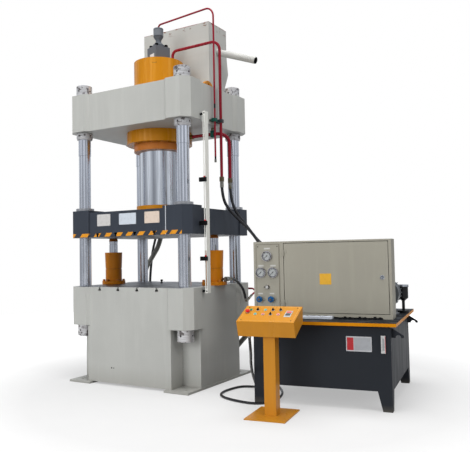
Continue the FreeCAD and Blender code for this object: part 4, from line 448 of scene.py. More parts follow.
def printed(name, colour, roughness=0.35):
    """Enamelled or printed sheet: a smooth coat with faint rubbing and specks."""
    finish, _, shader, where = start(name, roughness)
    rub = cloud(where, 30.0, 5.0)
    coat(shader, tint(colour, deeper(colour, 0.90), spread(rub, 0.48, 0.68)),
         spread(rub, 0.3, 0.7, roughness - 0.05, roughness + 0.15))
    return finish


STRIPE_THICK = 0.0006
SLOT_SPOTS, SLOT_HALF_MOUTH, SLOT_HALF_THROAT = (-0.39, -0.13, 0.13, 0.39), 0.012, 0.021
stripes = bmesh.new()
# The left and right foot of each stripe, cut round the T-slots and over each face of the front.
for left, right in ((-0.796, -0.731), (-0.639, -0.530), (-0.446, -0.371), (-0.292, -0.214),
                    (-0.137, -0.062), (0.006, 0.080), (0.162, 0.238), (0.312, 0.388),
                    (0.465, 0.541), (0.590, 0.666), (0.712, 0.790)):
    high = STRIPE_LOW + STRIPE_RISE
    whole = [(left, STRIPE_LOW), (right, STRIPE_LOW), (right + STRIPE_LEAN, high),
             (left + STRIPE_LEAN, high)]
    for low, top, half_slot in ((STRIPE_LOW, SLOT_LIP, SLOT_HALF_MOUTH),
                                (SLOT_LIP, high, SLOT_HALF_THROAT)):
        runs = [trimmed(trimmed(whole, 1, low, 1), 1, top, -1)]
        for slot in SLOT_SPOTS:
            runs = [cut for run in runs for cut in (trimmed(run, 0, slot - half_slot, -1),
                                                    trimmed(run, 0, slot + half_slot, 1))]
        for (start_x, face), (end_x, _) in zip(FRONT_OUTLINE[::2], FRONT_OUTLINE[1::2]):
            for run in runs:
                on_face = trimmed(trimmed(run, 0, start_x, 1), 0, end_x, -1)
                if len(on_face) > 2:
                    stamp(stripes, on_face, STRIPE_THICK, upright(0, face, 0))
worked("slide_hazard_stripes", stripes, Matrix(), printed("hazard_orange", card(226, 150, 30), 0.45),
       "slide_assembly")

PLATE_THICK, RIVET_INSET = 0.0016, 0.008
rivet_steel = bright_steel("rivet_steel", card(190, 190, 188), 0.30)
for name, (left, right, low, high), colour in (
        ("left", (-0.392, -0.203, 1.714, 1.841), card(206, 204, 202)),
        ("middle", (-0.080, 0.152, 1.718, 1.838), card(206, 214, 224)),
        ("right", (0.265, 0.459, 1.720, 1.840), card(222, 204, 188))):
    width, height = right - left, high - low
    place = upright((left + right) / 2, SLIDE_FRONT, (low + high) / 2)
    worked("slide_plate_" + name, sheet(width, height, 0.004, PLATE_THICK), place,
           printed("slide_plate_" + name, colour, 0.30), "slide_assembly")
    rivets = bmesh.new()
    for side in (-1, 1):
        for rise in (-1, 1):
            turn(rivets, screw_profile(0.0035, 0.002), 12,
                 at(side * (width / 2 - RIVET_INSET), rise * (height / 2 - RIVET_INSET), PLATE_THICK))
    worked("slide_rivets_" + name, rivets, place, rivet_steel, "slide_assembly")

# ------------------------------------------------------------------ buffers
# Two hydraulic buffers stand on the bed and meet the slide's striker pads. Their barrels
# are turned and sprayed orange, their rods are plated, and the pads are orange buttons.

dress(sprayed("buffer_paint", card(202, 122, 14), 0.30, worn=card(206, 150, 84), peel=0.05),
      "buffer_barrels")
dress(sprayed("pad_paint", card(150, 88, 26), 0.40, worn=card(186, 130, 70), peel=0.05),
      "striker_pads")
dress(ground_steel("plated_rod", card(222, 224, 230), 0.10, (9, 9, 0.4), 0.80),
      "buffer_rod_left", "buffer_rod_right")

# ------------------------------------------------------------------ prefill valve and tank
# A cast prefill valve with four black cap screws sits on the barrel. Behind it stands the
# oil tank that feeds it, folded and welded from sheet, with an open overflow pipe.

VALVE_YAW = math.radians(-21.5)
VALVE_HALF = 0.095
VALVE_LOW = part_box("prefill_valve")[0][2]
VALVE_SEAT = VALVE_LOW + 0.190
CAP_BAND = (VALVE_LOW + 0.331, VALVE_LOW + 0.400)
HEADS_BAND, HEADS_OUT = (VALVE_SEAT + 0.0005, VALVE_LOW + 0.217), 0.0665

valve_paint = sprayed("valve_paint", card(92, 96, 102), 0.42, worn=card(150, 152, 156),
                      hollow_shade=0.8, peel=0.22, reach=0.03)
where = place_of(valve_paint)
height = along(where, "Z")
lay_over(valve_paint, within(height, *CAP_BAND), card(110, 114, 120), 0.38)
level = reckon("MULTIPLY", where, (1, 1, 0), kind="VectorMath")
screws = both(within(height, *HEADS_BAND),
              reckon("GREATER_THAN", reckon("LENGTH", level, kind="VectorMath"), HEADS_OUT))
lay_over(valve_paint, screws, card(26, 26, 28), 0.35)
dress(valve_paint, "prefill_valve")
VALVE_TURN = Matrix.Rotation(VALVE_YAW, 4, "Z")
SCREW_SPOT = VALVE_HALF - 0.032
heads = bmesh.new()
for x in (-SCREW_SPOT, SCREW_SPOT):
    for y in (-SCREW_SPOT, SCREW_SPOT):
        turn(heads, [(0.0205, 0), (0.0205, 0.030), (0.0190, 0.0325), (0.0110, 0.0325),
                     (0.0110, 0.0270), (0, 0.0270)], 24,
             VALVE_TURN @ at(x, y, VALVE_SEAT))
worked("valve_cap_screws", heads, Matrix(), bright_steel("blacked_steel", card(34, 34, 36), 0.42))
worked("valve_plate", sheet(0.092, 0.074, 0.003, PLATE_THICK),
       VALVE_TURN @ upright(0.012, -VALVE_HALF, VALVE_LOW + 0.066),
       printed("valve_plate_white", card(214, 216, 218)))

TANK_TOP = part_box("prefill_tank")[1][2]
RUST_FALL, RUST_FULL, LIP_HEIGHT = 0.09, 0.02, 0.007
tank_grey = sprayed("prefill_tank_paint", card(178, 178, 174), 0.42, hollow_shade=0.85, reach=0.06)
where = place_of(tank_grey)
walls_only = reckon("SUBTRACT", 1.0, past(facing(where.id_data), "Z", 0.9))
near_top = both(walls_only, spread(along(where, "Z"), TANK_TOP - RUST_FALL, TANK_TOP - RUST_FULL))
rust = spread(cloud(where, 13.0, 6.0, (1, 1, 1.6)), 0.585, 0.62)
lay_over(tank_grey, both(near_top, rust), card(112, 72, 54), 0.8)
lip = both(past(where, "Z", TANK_TOP - LIP_HEIGHT),
           spread(cloud(where, 3.0, 5.0), 0.40, 0.55, 0.1, 0.8))
lay_over(tank_grey, both(lip, walls_only), card(142, 84, 82), 0.7)
# Faint darker bands, level across the tank.
faint_bands = spread(cloud(where, 1.2, 2.0, (0.05, 0.05, 7)), 0.60, 0.66, 0.0, 0.16)
lay_over(tank_grey, faint_bands, card(160, 156, 148), 0.5)


def near_line(where, point, direction, radius):
    """1 within a radius of a line through a point: a bore or a hub, seen end-on."""
    off = reckon("SUBTRACT", where, point, kind="VectorMath")
    cross = reckon("CROSS_PRODUCT", off, direction, kind="VectorMath")
    return reckon("LESS_THAN", reckon("LENGTH", cross, kind="VectorMath"), radius)


# Painted shade: the overflow pipe's open end is a dark disc, standing in for the shade inside its
# bore.
PIPE_ROOT = Vector((0.441, 0.542, TANK_TOP - 0.304))
PIPE_FALL = math.radians(20.3)
PIPE_LINE = Vector((math.cos(PIPE_FALL), 0, -math.sin(PIPE_FALL)))
BORE_RADIUS, BORE_LEFT = 0.0368, 0.520
shaded_bore = both(near_line(where, PIPE_ROOT, PIPE_LINE, BORE_RADIUS), past(where, "X", BORE_LEFT))
lay_over(tank_grey, shaded_bore, card(30, 30, 32), 0.6)
dress(tank_grey, "prefill_tank")

# ------------------------------------------------------------------ pipes, clamps, fittings
# Drawn steel pipes, bent cold and sprayed dark red, run down the crown's side in moulded
# clamps. The hose ends are pressed ferrules with brass-coloured nuts.

PIPE_COAT = {"edge": 0.001, "worn": card(160, 70, 80), "wear": 0.2, "peel": 0.03, "reach": 0.02}
dress(sprayed("pipe_red", card(132, 16, 34), 0.26, **PIPE_COAT),
      "upper_port_pipe", "lower_port_pipe", "buffer_pipe")
PILOT_TAPE, PILOT_NUT = (2.955, 3.005), (2.39, 2.432)
pilot_paint = sprayed("pilot_red", card(136, 20, 40), 0.26, **PIPE_COAT)
height = along(place_of(pilot_paint), "Z")
black_parts = reckon("MAXIMUM", within(height, *PILOT_TAPE), within(height, *PILOT_NUT))
lay_over(pilot_paint, black_parts, card(22, 22, 24), 0.5)
dress(pilot_paint, "pilot_pipe")

clamp_green = sprayed("clamp_green", card(24, 84, 72), 0.5, edge=0.001, wear=0.1, reach=0.02)
STRUT_FRONT, STRUT_LEFT, HANGER_LOW, HANGER_RIGHT = -0.088, 0.745, 2.7515, 0.7995
where = place_of(clamp_green)
strut = both(past(where, "Y", STRUT_FRONT), past(where, "X", STRUT_LEFT))
hanger = both(past(where, "Z", HANGER_LOW), reckon("LESS_THAN", along(where, "X"), HANGER_RIGHT))
lay_over(clamp_green, reckon("MAXIMUM", strut, hanger), card(52, 56, 60), 0.5)
dress(clamp_green, "pipe_clamps")

fitting_steel = ground_steel("fitting_steel", card(156, 154, 146), 0.42, (3, 3, 8), 0.65,
                             card(110, 92, 62), 0.85)
HOSE_NUTS, PORT_SPAN, PORT_LOW = (2.171, 2.2205), (0.36, 0.52), 2.6
where = place_of(fitting_steel)
hose_nuts = within(along(where, "Z"), *HOSE_NUTS)
lay_over(fitting_steel, hose_nuts, card(112, 100, 78), 0.50, 1.0)
flange_port = both(within(along(where, "X"), *PORT_SPAN), past(where, "Z", PORT_LOW))
lay_over(fitting_steel, flange_port, card(140, 112, 58), 0.38, 1.0)
dress(fitting_steel, "pipe_fittings")

# ------------------------------------------------------------------ limit switches
# A rail of folded sheet, powder coated near white, stands on black spacers at the crown's
# and the bed's right side. Three black limit switches with red caps are clamped to it.

rail_paint = sprayed("rail_white", card(228, 228, 222), 0.35, edge=0.001, wear=0.1, reach=0.02)
RAIL_LOW, RAIL_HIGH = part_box("switch_rail")
RAIL_WIDTH, RAIL_SCREW_IN, RAIL_SCREW_END = 0.0275, 0.010, 0.020
spacers = reckon("LESS_THAN", along(place_of(rail_paint), "X"), RAIL_HIGH[0] - RAIL_WIDTH)
lay_over(rail_paint, spacers, card(20, 20, 22), 0.45)
dress(rail_paint, "switch_rail")
rail_screws = bmesh.new()
for z in (RAIL_LOW[2] + RAIL_SCREW_END, RAIL_HIGH[2] - RAIL_SCREW_END):
    turn(rail_screws, screw_profile(0.0075, 0.004), 16,
         upright(RAIL_HIGH[0] - RAIL_SCREW_IN, RAIL_LOW[1], z))
worked("rail_screws", rail_screws, Matrix(), dark_steel)


def moulded(name, colour, roughness=0.32, shine=0.3):
    """Moulded plastic: even colour, a fine grain and faintly uneven gloss."""
    finish, tree, shader, where = start(name, roughness, shine=shine)
    gloss = cloud(where, 40.0, 3.0)
    coat(shader, tint(colour, deeper(colour, 0.82), spread(gloss, 0.45, 0.7)),
         spread(gloss, 0.3, 0.7, roughness - 0.06, roughness + 0.10))
    grain(shader, Strength=0.08, Distance=0.0003, Height=cloud(where, 160.0, 2.0),
          Normal=rounded_edges(tree, 0.0008)[0])
    return finish


CAP_HEIGHT = 0.0118
for name in ("switch_upper", "switch_middle", "switch_lower"):
    switch_black = moulded(name + "_plastic", card(12, 12, 14), 0.45, shine=0.12)
    cap = past(place_of(switch_black), "Z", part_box(name)[1][2] - CAP_HEIGHT)
    lay_over(switch_black, cap, card(196, 28, 34), 0.30)
    dress(switch_black, name)

# ------------------------------------------------------------------ oil tank and lid
# The power unit's tank is welded sheet in a very dark blue-grey, on tapered legs. Its lid
# overhangs it with an orange rim, and its top is a dark oil-proof coat.

UNIT_TURN = Matrix.Rotation(math.radians(8.08), 4, "Z")
UNIT = at(2.816, -0.451, 0) @ UNIT_TURN
TANK_FRONT = 0.053
LID_TOP, LID_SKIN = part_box("tank_lid")[1][2], 0.0004

dress(sprayed("oil_tank_paint", card(43, 46, 51), 0.50, worn=card(74, 78, 84), wear=0.15,
              peel=0.12, foot=0.06, shine=0.06), "oil_tank")
lid_paint = sprayed("lid_paint", card(204, 130, 12), 0.42, worn=ORANGE_WORN, peel=0.05,
                    shine=0.08)
where = place_of(lid_paint)
smears = cloud(where, 5.0, 5.0, (1, 2, 1))
lid_coat = tint(card(30, 32, 35), card(58, 62, 66), spread(smears, 0.52, 0.70))
lay_over(lid_paint, past(where, "Z", LID_TOP - LID_SKIN), lid_coat,
         spread(smears, 0.4, 0.65, 0.6, 0.40))
dress(lid_paint, "tank_lid")

dress(ground_steel("level_gauge_metal", card(206, 206, 204), 0.30, (2, 2, 8), 0.8), "level_gauge")
LEVEL_U, LEVEL_Z, LEVEL_FACE = -0.1165, 0.579, 0.035
GLASS_THICK, MARK_PITCH, MARKS = 0.0008, 0.011, 9
level_place = UNIT @ upright(LEVEL_U, LEVEL_FACE, LEVEL_Z)
worked("level_window", sheet(0.017, 0.104, 0.004, GLASS_THICK), level_place,
       printed("level_window_grey", card(140, 144, 146), 0.2))


def bar(shape, left, right, half, thickness, place):
    """A thin straight bar, lying along X."""
    stamp(shape, [(left, -half), (right, -half), (right, half), (left, half)], thickness, place)


marks = bmesh.new()
for i in range(MARKS):
    bar(marks, -0.0075, -0.003, 0.0008, 0.0004, at(0, (i - MARKS // 2) * MARK_PITCH, GLASS_THICK))
worked("level_marks", marks, level_place, printed("level_mark_white", card(220, 220, 214)))
worked("level_red_edge", sheet(0.004, 0.146, 0.0015, GLASS_THICK),
       UNIT @ upright(LEVEL_U + 0.0165, LEVEL_FACE, LEVEL_Z),
       printed("level_red", card(178, 40, 44)))

LABEL_U, LABEL_Z, LABEL_WIDTH, LABEL_HEIGHT, LABEL_THICK = -0.330, 0.5745, 0.224, 0.131, 0.0012
label_place = UNIT @ upright(LABEL_U, TANK_FRONT, LABEL_Z)
worked("tank_label", sheet(LABEL_WIDTH, LABEL_HEIGHT, 0.005, LABEL_THICK), label_place,
       printed("label_rim_silver", card(186, 188, 192), 0.3))
for name, left, right, colour in (("red", -0.104, -0.046, card(172, 28, 36)),
                                  ("grey", -0.042, 0.104, card(160, 163, 168))):
    worked("tank_label_" + name, sheet(right - left, LABEL_HEIGHT - 0.020, 0.003, 0.0006),
           label_place @ at((left + right) / 2, 0, LABEL_THICK),
           printed("label_" + name, colour))

# ------------------------------------------------------------------ cabinet and door
# The switch cabinet is folded sheet, powder coated beige-grey, with a gauge panel screwed
# into its left end and a hinged door with a quarter-turn lock.

PANEL_FACE, DOOR_FACE = 0.320, 0.324
dress(sprayed("cabinet_coat", card(158, 155, 143), 0.46, edge=0.0015, wear=0.12, peel=0.16,
              hollow_shade=0.9, reach=0.02), "cabinet", "cabinet_door")
dress(ground_steel("lock_chrome", card(206, 210, 216), 0.18, (3, 3, 3), 0.7), "door_lock")


def hoop(shape, outer, inner, thickness, place=Matrix()):
    """A flat ring or border between two outlines of as many corners."""
    rings = [[shape.verts.new(place @ Vector((x, y, z))) for x, y in edge]
             for edge, z in ((outer, 0), (outer, thickness), (inner, thickness), (inner, 0))]
    for lower, upper in zip(rings, rings[1:] + rings[:1]):
        for i in range(len(outer)):
            j = (i + 1) % len(outer)
            shape.faces.new((lower[i], lower[j], upper[j], upper[i]))
    return shape


PANEL_LEFT, PANEL_RIGHT, PANEL_LOW, PANEL_HIGH = -1.374, -1.130, 0.811, 1.475
panel_place = UNIT @ upright((PANEL_LEFT + PANEL_RIGHT) / 2, PANEL_FACE,
                             (PANEL_LOW + PANEL_HIGH) / 2)
panel_width, panel_height = PANEL_RIGHT - PANEL_LEFT - 0.006, PANEL_HIGH - PANEL_LOW - 0.006
worked("panel_border", hoop(bmesh.new(), rounded(panel_width, panel_height, 0.004),
                            rounded(panel_width - 0.008, panel_height - 0.008, 0.002), 0.0012),
       panel_place, printed("panel_border_beige", card(112, 106, 94), 0.5))


def closed_ring(profile, steps):
    """A turned ring whose profile comes back to its first point."""
    ring = turn(bmesh.new(), profile, steps)
    bmesh.ops.remove_doubles(ring, verts=ring.verts, dist=1e-6)
    return ring


LOCK_HOLE = 0.015
worked("lock_ring", closed_ring([(LOCK_HOLE, 0), (LOCK_HOLE, 0.004), (0.018, 0.004),
                                 (0.020, 0.002), (0.020, 0), (LOCK_HOLE, 0)], 32),
       UNIT @ upright(-0.152, DOOR_FACE, 1.145),
       bright_steel("lock_ring_chrome", card(214, 220, 230), 0.25), "cabinet_door")
worked("door_plate", sheet(0.112, 0.104, 0.006, 0.0012), UNIT @ upright(-0.680, DOOR_FACE, 1.131),
       printed("door_plate_yellow", card(222, 168, 44)), "cabinet_door")
panel_screws = bmesh.new()
for u in (PANEL_LEFT + 0.022, PANEL_RIGHT - 0.022):
    for z in (PANEL_LOW + 0.022, PANEL_HIGH - 0.026):
        turn(panel_screws, screw_profile(0.0055, 0.003), 16, upright(u, PANEL_FACE, z))
worked("panel_screws", panel_screws, UNIT, dark_steel)
strips = bmesh.new()
for u, z, width in ((-1.256, 1.430, 0.062), (-1.321, 1.262, 0.056), (-1.197, 1.262, 0.056),
                    (-1.332, 0.990, 0.046), (-1.213, 0.990, 0.046)):
    stamp(strips, rounded(width, 0.014, 0.002), 0.0006, upright(u, PANEL_FACE, z))
worked("panel_strips", strips, UNIT, printed("strip_white", card(196, 196, 192)))

# ------------------------------------------------------------------ gauges and valves
# Three glycerine pressure gauges in plated bezels, a gauge valve with a black knob, and two
# blue scalloped handwheels that set the pressures, all through the panel.

GAUGE_SPOTS = ((-1.256, 1.356), (-1.321, 1.196), (-1.197, 1.196))
DIAL_FACE = PANEL_FACE - 0.018
DIAL_RADIUS, DIAL_THICK, SCALE_RADIUS, RING_RADIUS = 0.0435, 0.0008, 0.036, 0.0385
TICKS, TICK_START, TICK_STEP, NEEDLE_AT = 28, 225, 10, 222
dress(ground_steel("bezel_chrome", card(236, 234, 240), 0.13, (4, 4, 4), 0.62,
                   card(96, 92, 98), ripple=0.8, metallic=0.8), "pressure_gauges")
dial_white = printed("dial_white", card(170, 174, 175), 0.16)
ring_shadow = printed("dial_ring_grey", card(66, 64, 70), 0.3)
dial_black = printed("dial_black", card(26, 26, 28), 0.3)
for number, (u, z) in enumerate(GAUGE_SPOTS, 1):
    place = UNIT @ upright(u, DIAL_FACE, z)
    face = turn(bmesh.new(), [(DIAL_RADIUS, 0), (DIAL_RADIUS, DIAL_THICK), (0, DIAL_THICK)], 40)
    worked("gauge_dial_%d" % number, face, place, dial_white)
    dark_ring = closed_ring([(RING_RADIUS, DIAL_THICK), (RING_RADIUS, 0.0020), (DIAL_RADIUS, 0.0030),
                             (DIAL_RADIUS, DIAL_THICK), (RING_RADIUS, DIAL_THICK)], 40)
    worked("gauge_ring_%d" % number, dark_ring, place, ring_shadow)
    scale = bmesh.new()
    for tick in range(TICKS):
        swing = Matrix.Rotation(math.radians(TICK_START - tick * TICK_STEP), 4, "Z")
        length = 0.005 if tick % 3 else 0.010
        bar(scale, SCALE_RADIUS - length, SCALE_RADIUS, 0.0012, 0.0003,
            at(0, 0, DIAL_THICK) @ swing)
    stamp(scale, [(-0.012, -0.0035), (0.032, -0.0010), (0.032, 0.0010), (-0.012, 0.0035)],
          0.0008, at(0, 0, 0.0012) @ Matrix.Rotation(math.radians(NEEDLE_AT), 4, "Z"))
    turn(scale, [(0.005, DIAL_THICK), (0.005, 0.003), (0.003, 0.004), (0, 0.004)], 16)
    worked("gauge_marks_%d" % number, scale, place, dial_black)

UNIT_DEPTH = UNIT.to_3x3() @ Vector((0, 1, 0))
knob_black = moulded("knob_black", card(30, 30, 32))
knob_centre = UNIT @ Vector((-1.256, 0.29, 1.055))
ring = near_line(place_of(knob_black), knob_centre, UNIT_DEPTH, 0.0150)
lay_over(knob_black, ring, card(206, 204, 200), 0.24, 0.7)
dress(knob_black, "gauge_valve_knob")
for name, u in (("handwheel_left", -1.332), ("handwheel_right", -1.213)):
    blue = moulded(name + "_blue", card(16, 84, 138), 0.30)
    hub = near_line(place_of(blue), UNIT @ Vector((u, 0.28, 0.937)), UNIT_DEPTH, 0.0105)
    lay_over(blue, hub, card(104, 88, 66), 0.4, 0.8)
    dress(blue, name)

# ------------------------------------------------------------------ trunking on the lid
# In the gap under the cabinet lies a length of pale moulded trunking, and beside it a row
# of low black glands and clips, all screwed down on the lid.

TRUNK_HALF = 0.140
trunk = bmesh.new()
section = [(-0.034, 0), (0.034, 0), (0.034, 0.020), (0.030, 0.024), (0.004, 0.024),
           (0.004, 0.0215), (-0.004, 0.0215), (-0.004, 0.024), (-0.030, 0.024), (-0.034, 0.020)]
ends = [[trunk.verts.new((x, y, z)) for y, z in section] for x in (-TRUNK_HALF, TRUNK_HALF)]
for i in range(len(section)):
    j = (i + 1) % len(section)
    trunk.faces.new((ends[0][i], ends[0][j], ends[1][j], ends[1][i]))
for end in ends:
    trunk.faces.new(end)
trunk_place = at(2.035, -0.282, LID_TOP) @ UNIT_TURN
worked("lid_trunking", trunk, trunk_place, printed("trunking_white", card(214, 220, 230), 0.5))
TIE_HALF_WIDTH, TIE_HALF_LENGTH, TIE_THICK, TIE_Z = 0.005, 0.0345, 0.0016, 0.0236
ties = bmesh.new()
for x, lean in ((-0.100, 0.62), (-0.052, -0.62), (0.016, 0.58), (0.064, -0.55)):
    bar(ties, -TIE_HALF_WIDTH, TIE_HALF_WIDTH, TIE_HALF_LENGTH, TIE_THICK,
        at(x, 0, TIE_Z) @ Matrix.Rotation(lean, 4, "Z"))
worked("trunking_ties", ties, trunk_place, moulded("tie_black", card(20, 20, 22), 0.4))
GLANDS, GLAND_SIDES, GLAND_TURN = 9, 6, 0.7
GLAND_X, GLAND_Y, GLAND_RUN_X, GLAND_RUN_Y = 2.242, -0.252, 0.350, 0.086
glands = bmesh.new()
for number in range(GLANDS):
    share = number / (GLANDS - 1)
    place = at(GLAND_X + GLAND_RUN_X * share, GLAND_Y + GLAND_RUN_Y * share, LID_TOP)
    height = 0.014 + 0.010 * (number * 5 % 3) / 2
    turn(glands, [(0.020, 0), (0.020, height * 0.4), (0.013, height * 0.5), (0.013, height * 0.85),
                  (0.009, height), (0, height)], GLAND_SIDES * (1 + number % 2),
         place @ Matrix.Rotation(GLAND_TURN * number, 4, "Z"))
worked("lid_glands", glands, Matrix(), moulded("gland_black", card(14, 14, 16), 0.5))

# ------------------------------------------------------------------ motor, pump, manifold
# Behind the cabinet a finned motor drives the pump, a steel manifold carries the valves,
# and a black return filter stands on its own stem at the tank's rear corner.

dress(sprayed("motor_paint", card(96, 100, 104), 0.40, edge=0.001, wear=0.15, peel=0.12,
              hollow_shade=0.9, reach=0.03), "motor")
dress(sprayed("pump_iron", card(60, 62, 66), 0.55, edge=0.001, wear=0.2, peel=0.25), "pump")
dress(ground_steel("manifold_steel", card(150, 150, 148), 0.36, (6, 6, 2), 0.7), "valve_manifold")
FILTER_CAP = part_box("return_filter")[1][2] - 0.0215
filter_black = sprayed("filter_black", card(26, 27, 29), 0.34, edge=0.001, wear=0.2, peel=0.08,
                       worn=card(70, 70, 74))
lay_over(filter_black, past(place_of(filter_black), "Z", FILTER_CAP), card(176, 180, 186), 0.32,
         0.9)
dress(filter_black, "return_filter")

# ------------------------------------------------------------------ pedestal console
# The operator's console is a folded sheet box with a sloping top on a square post, sprayed
# orange. Its top carries buttons, selectors, an emergency stop and a counter display.

console_paint = sprayed("console_paint", card(198, 134, 40), 0.32, edge=0.0015,
                        worn=ORANGE_WORN, wear=0.2, peel=0.10, reach=0.02, shine=0.2)
CONSOLE_LOW, CONSOLE_RISE, CONSOLE_DEPTH, COLLAR_SKIN = 0.807, 0.108, 0.274, 0.0008
SLOPE = math.atan2(CONSOLE_RISE, CONSOLE_DEPTH)
CONSOLE = (at(1.856, -0.926, CONSOLE_LOW) @ UNIT_TURN @ at(0, -CONSOLE_DEPTH / 2, 0)
           @ Matrix.Rotation(SLOPE, 4, "X"))
off_slope = CONSOLE.to_3x3() @ Vector((0, 0, 1))
lift = reckon("DOT_PRODUCT", place_of(console_paint), off_slope, kind="VectorMath")
collars = reckon("GREATER_THAN", lift, CONSOLE.to_translation().dot(off_slope) + COLLAR_SKIN)
lay_over(console_paint, collars, card(206, 202, 196), 0.35)
dress(console_paint, "console_box", "console_stand")


def on_slope(x, y):
    """A place on the console's sloping top, by its level distances from the middle."""
    return CONSOLE @ at(x, (y + CONSOLE_DEPTH / 2) / math.cos(SLOPE), 0)


BORDER_WIDTH, LINE = 0.478, 0.0022
BORDER_LENGTH = math.hypot(CONSOLE_RISE, CONSOLE_DEPTH) - 0.036
outer, inner = (rounded(BORDER_WIDTH - cut, BORDER_LENGTH - cut, 0.008) for cut in (0, 2 * LINE))
worked("console_border", hoop(bmesh.new(), outer, inner, 0.0006), on_slope(0, 0),
       printed("border_line", card(222, 176, 98)))
console_screws = bmesh.new()
for x in (-0.222, 0.222):
    for y in (-0.109, 0.109):
        turn(console_screws, screw_profile(0.005, 0.0025), 16, at(x, y / math.cos(SLOPE), 0))
worked("console_screws", console_screws, on_slope(0, 0), dark_steel)
DISPLAY_THICK = 0.003
display_place = on_slope(0.169, 0.004)
worked("display_plate", sheet(0.060, 0.112, 0.004, DISPLAY_THICK), display_place,
       printed("display_plate_light", card(184, 184, 182), 0.4))
for name, low, high, colour in (("red", 0.016, 0.044, card(206, 84, 84)),
                                ("window", -0.034, 0.008, card(74, 78, 82))):
    worked("display_" + name, sheet(0.044, high - low, 0.003, 0.001),
           display_place @ at(0, (low + high) / 2, DISPLAY_THICK),
           printed("display_" + name, colour, 0.25))
for colour, *names in ((card(214, 34, 40), "emergency_stop"), (card(10, 150, 98), "button_green"),
                       (card(92, 186, 174), "button_1", "button_2"),
                       (card(224, 136, 136), "button_3", "button_4"),
                       (card(24, 24, 26), "selector_1", "selector_2", "selector_3", "selector_4")):
    for name in names:
        dress(moulded(name + "_plastic", colour, 0.28), name)

# ------------------------------------------------------------------ hoses and cable
# Steel-braided rubber hoses hang between the pipes and the power unit, a thick grey return
# hose comes down from the prefill tank, and a limp black cable feeds the console.


def rubber(name, colour, roughness):
    """Hose cover: dull rubber with wrap marks, scuffs and a little dust."""
    finish, _, shader, where = start(name, roughness)
    scuffs = cloud(where, 9.0, 5.0)
    coat(shader, tint(colour, deeper(colour, 2.2), spread(scuffs, 0.50, 0.72, 0.0, 0.6)),
         spread(scuffs, 0.3, 0.7, roughness - 0.08, roughness + 0.12))
    grain(shader, Strength=0.25, Distance=0.001, Height=cloud(where, 240.0, 2.0))
    return finish


def hose(name, diameter, material, route):
    """A hose on a smooth line through its route in millimetres, in place of its plain tube."""
    points = [tuple(v / 1000 for v in point) for point in route]
    line = bpy.data.curves.new(name + "_line", "CURVE")
    line.dimensions = "3D"
    line.bevel_depth = diameter / 2
    line.bevel_resolution = 6
    line.resolution_u = 16
    spline = line.splines.new("NURBS")
    spline.points.add(len(points) - 1)
    for point, place in zip(spline.points, points):
        point.co = (*place, 1.0)
    spline.order_u = 3
    spline.use_endpoint_u = True
    line.materials.append(material)
    piece = put(name + "_rubber", line)
    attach(piece, "frame")
    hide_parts(name)


black_rubber = rubber("hose_black", card(22, 22, 24), 0.30)
grey_rubber = rubber("hose_grey", card(118, 118, 112), 0.50)
hose("hose_upper", 0.032, black_rubber, [
    (846, -20, 2106), (850, -10, 1982), (906, 16, 1866), (1040, 40, 1730), (1175, 50, 1600),
    (1270, 44, 1470), (1360, 30, 1360), (1440, 18, 1285), (1530, 23, 1231), (1621.7, 36, 1225)])
hose("hose_lower", 0.032, black_rubber, [
    (850, 150, 2106), (858, 152, 1980), (920, 158, 1830), (1040, 164, 1690), (1150, 168, 1545),
    (1290, 158, 1435), (1372, 138, 1330), (1435, 115, 1246), (1518, 112, 1195),
    (1609, 125.1, 1186)])
hose("hose_buffer", 0.030, black_rubber, [
    (860, 115, 1114), (861, 205, 1105), (866, 312, 1034), (871, 382, 965), (872, 407, 880)])
hose("hose_rear", 0.032, black_rubber, [
    (-380, 722, 3330), (-394, 762, 2990), (-462, 794, 2640), (-538, 808, 2280), (-622, 818, 1940),
    (-700, 822, 1650), (-768, 822, 1440), (-795, 820, 1230), (-768, 768, 1100), (-738, 724, 990),
    (-735, 720, 880)])
hose("return_hose", 0.060, grey_rubber, [
    (-440, 722, 3330), (-452, 728, 2960), (-482, 730, 2560), (-498, 730, 2160), (-516, 734, 1800),
    (-590, 742, 1520), (-710, 746, 1365), (-835, 752, 1210), (-900, 770, 980), (-870, 790, 700),
    (-760, 790, 420), (-560, 780, 190), (-280, 765, 50), (0, 760, 34), (270, 760, 70),
    (480, 755, 200), (640, 752, 370), (790, 738, 500), (955, 692, 572), (1120, 631.6, 572),
    (1291.3, 655.7, 560)])
hose("console_cable", 0.025, black_rubber, [
    (1700, -1009, 660), (1694, -985, 570), (1640, -880, 490), (1560, -740, 390), (1485, -580, 265),
    (1415, -400, 140), (1330, -200, 45), (1210, -70, 14), (1095, -105, 13), (1062, -240, 14),
    (1050, -400, 13), (1100, -540, 14), (1220, -625, 13), (1400, -680, 14), (1560, -690, 13),
    (1670, -600, 14), (1680, -450, 13), (1640, -266, 14), (1551, -90, 13), (1430, 60, 20),
    (1335, 140, 130), (1306, 168, 330), (1314, 162, 560), (1310, 170, 760), (1370, 130, 900),
    (1465, 46, 918), (1489.8, -73.7, 900)])

# ------------------------------------------------------------------ floor, lamps, camera
# A plain pale floor that reads white and keeps the press's shadow, soft studio lamps in
# front and above, and a camera at the photograph's angle.

SHOWN_DIRECTLY = ("Is Camera Ray", "Is Glossy Ray", "Is Transmission Ray")


def seen(tree):
    """1 for what the eye sees, itself or in metal and glass, and 0 for the light it gives."""
    path = step(tree, "LightPath")
    either = path.outputs[SHOWN_DIRECTLY[0]]
    for ray in SHOWN_DIRECTLY[1:]:
        either = reckon("MAXIMUM", either, path.outputs[ray])
    return either


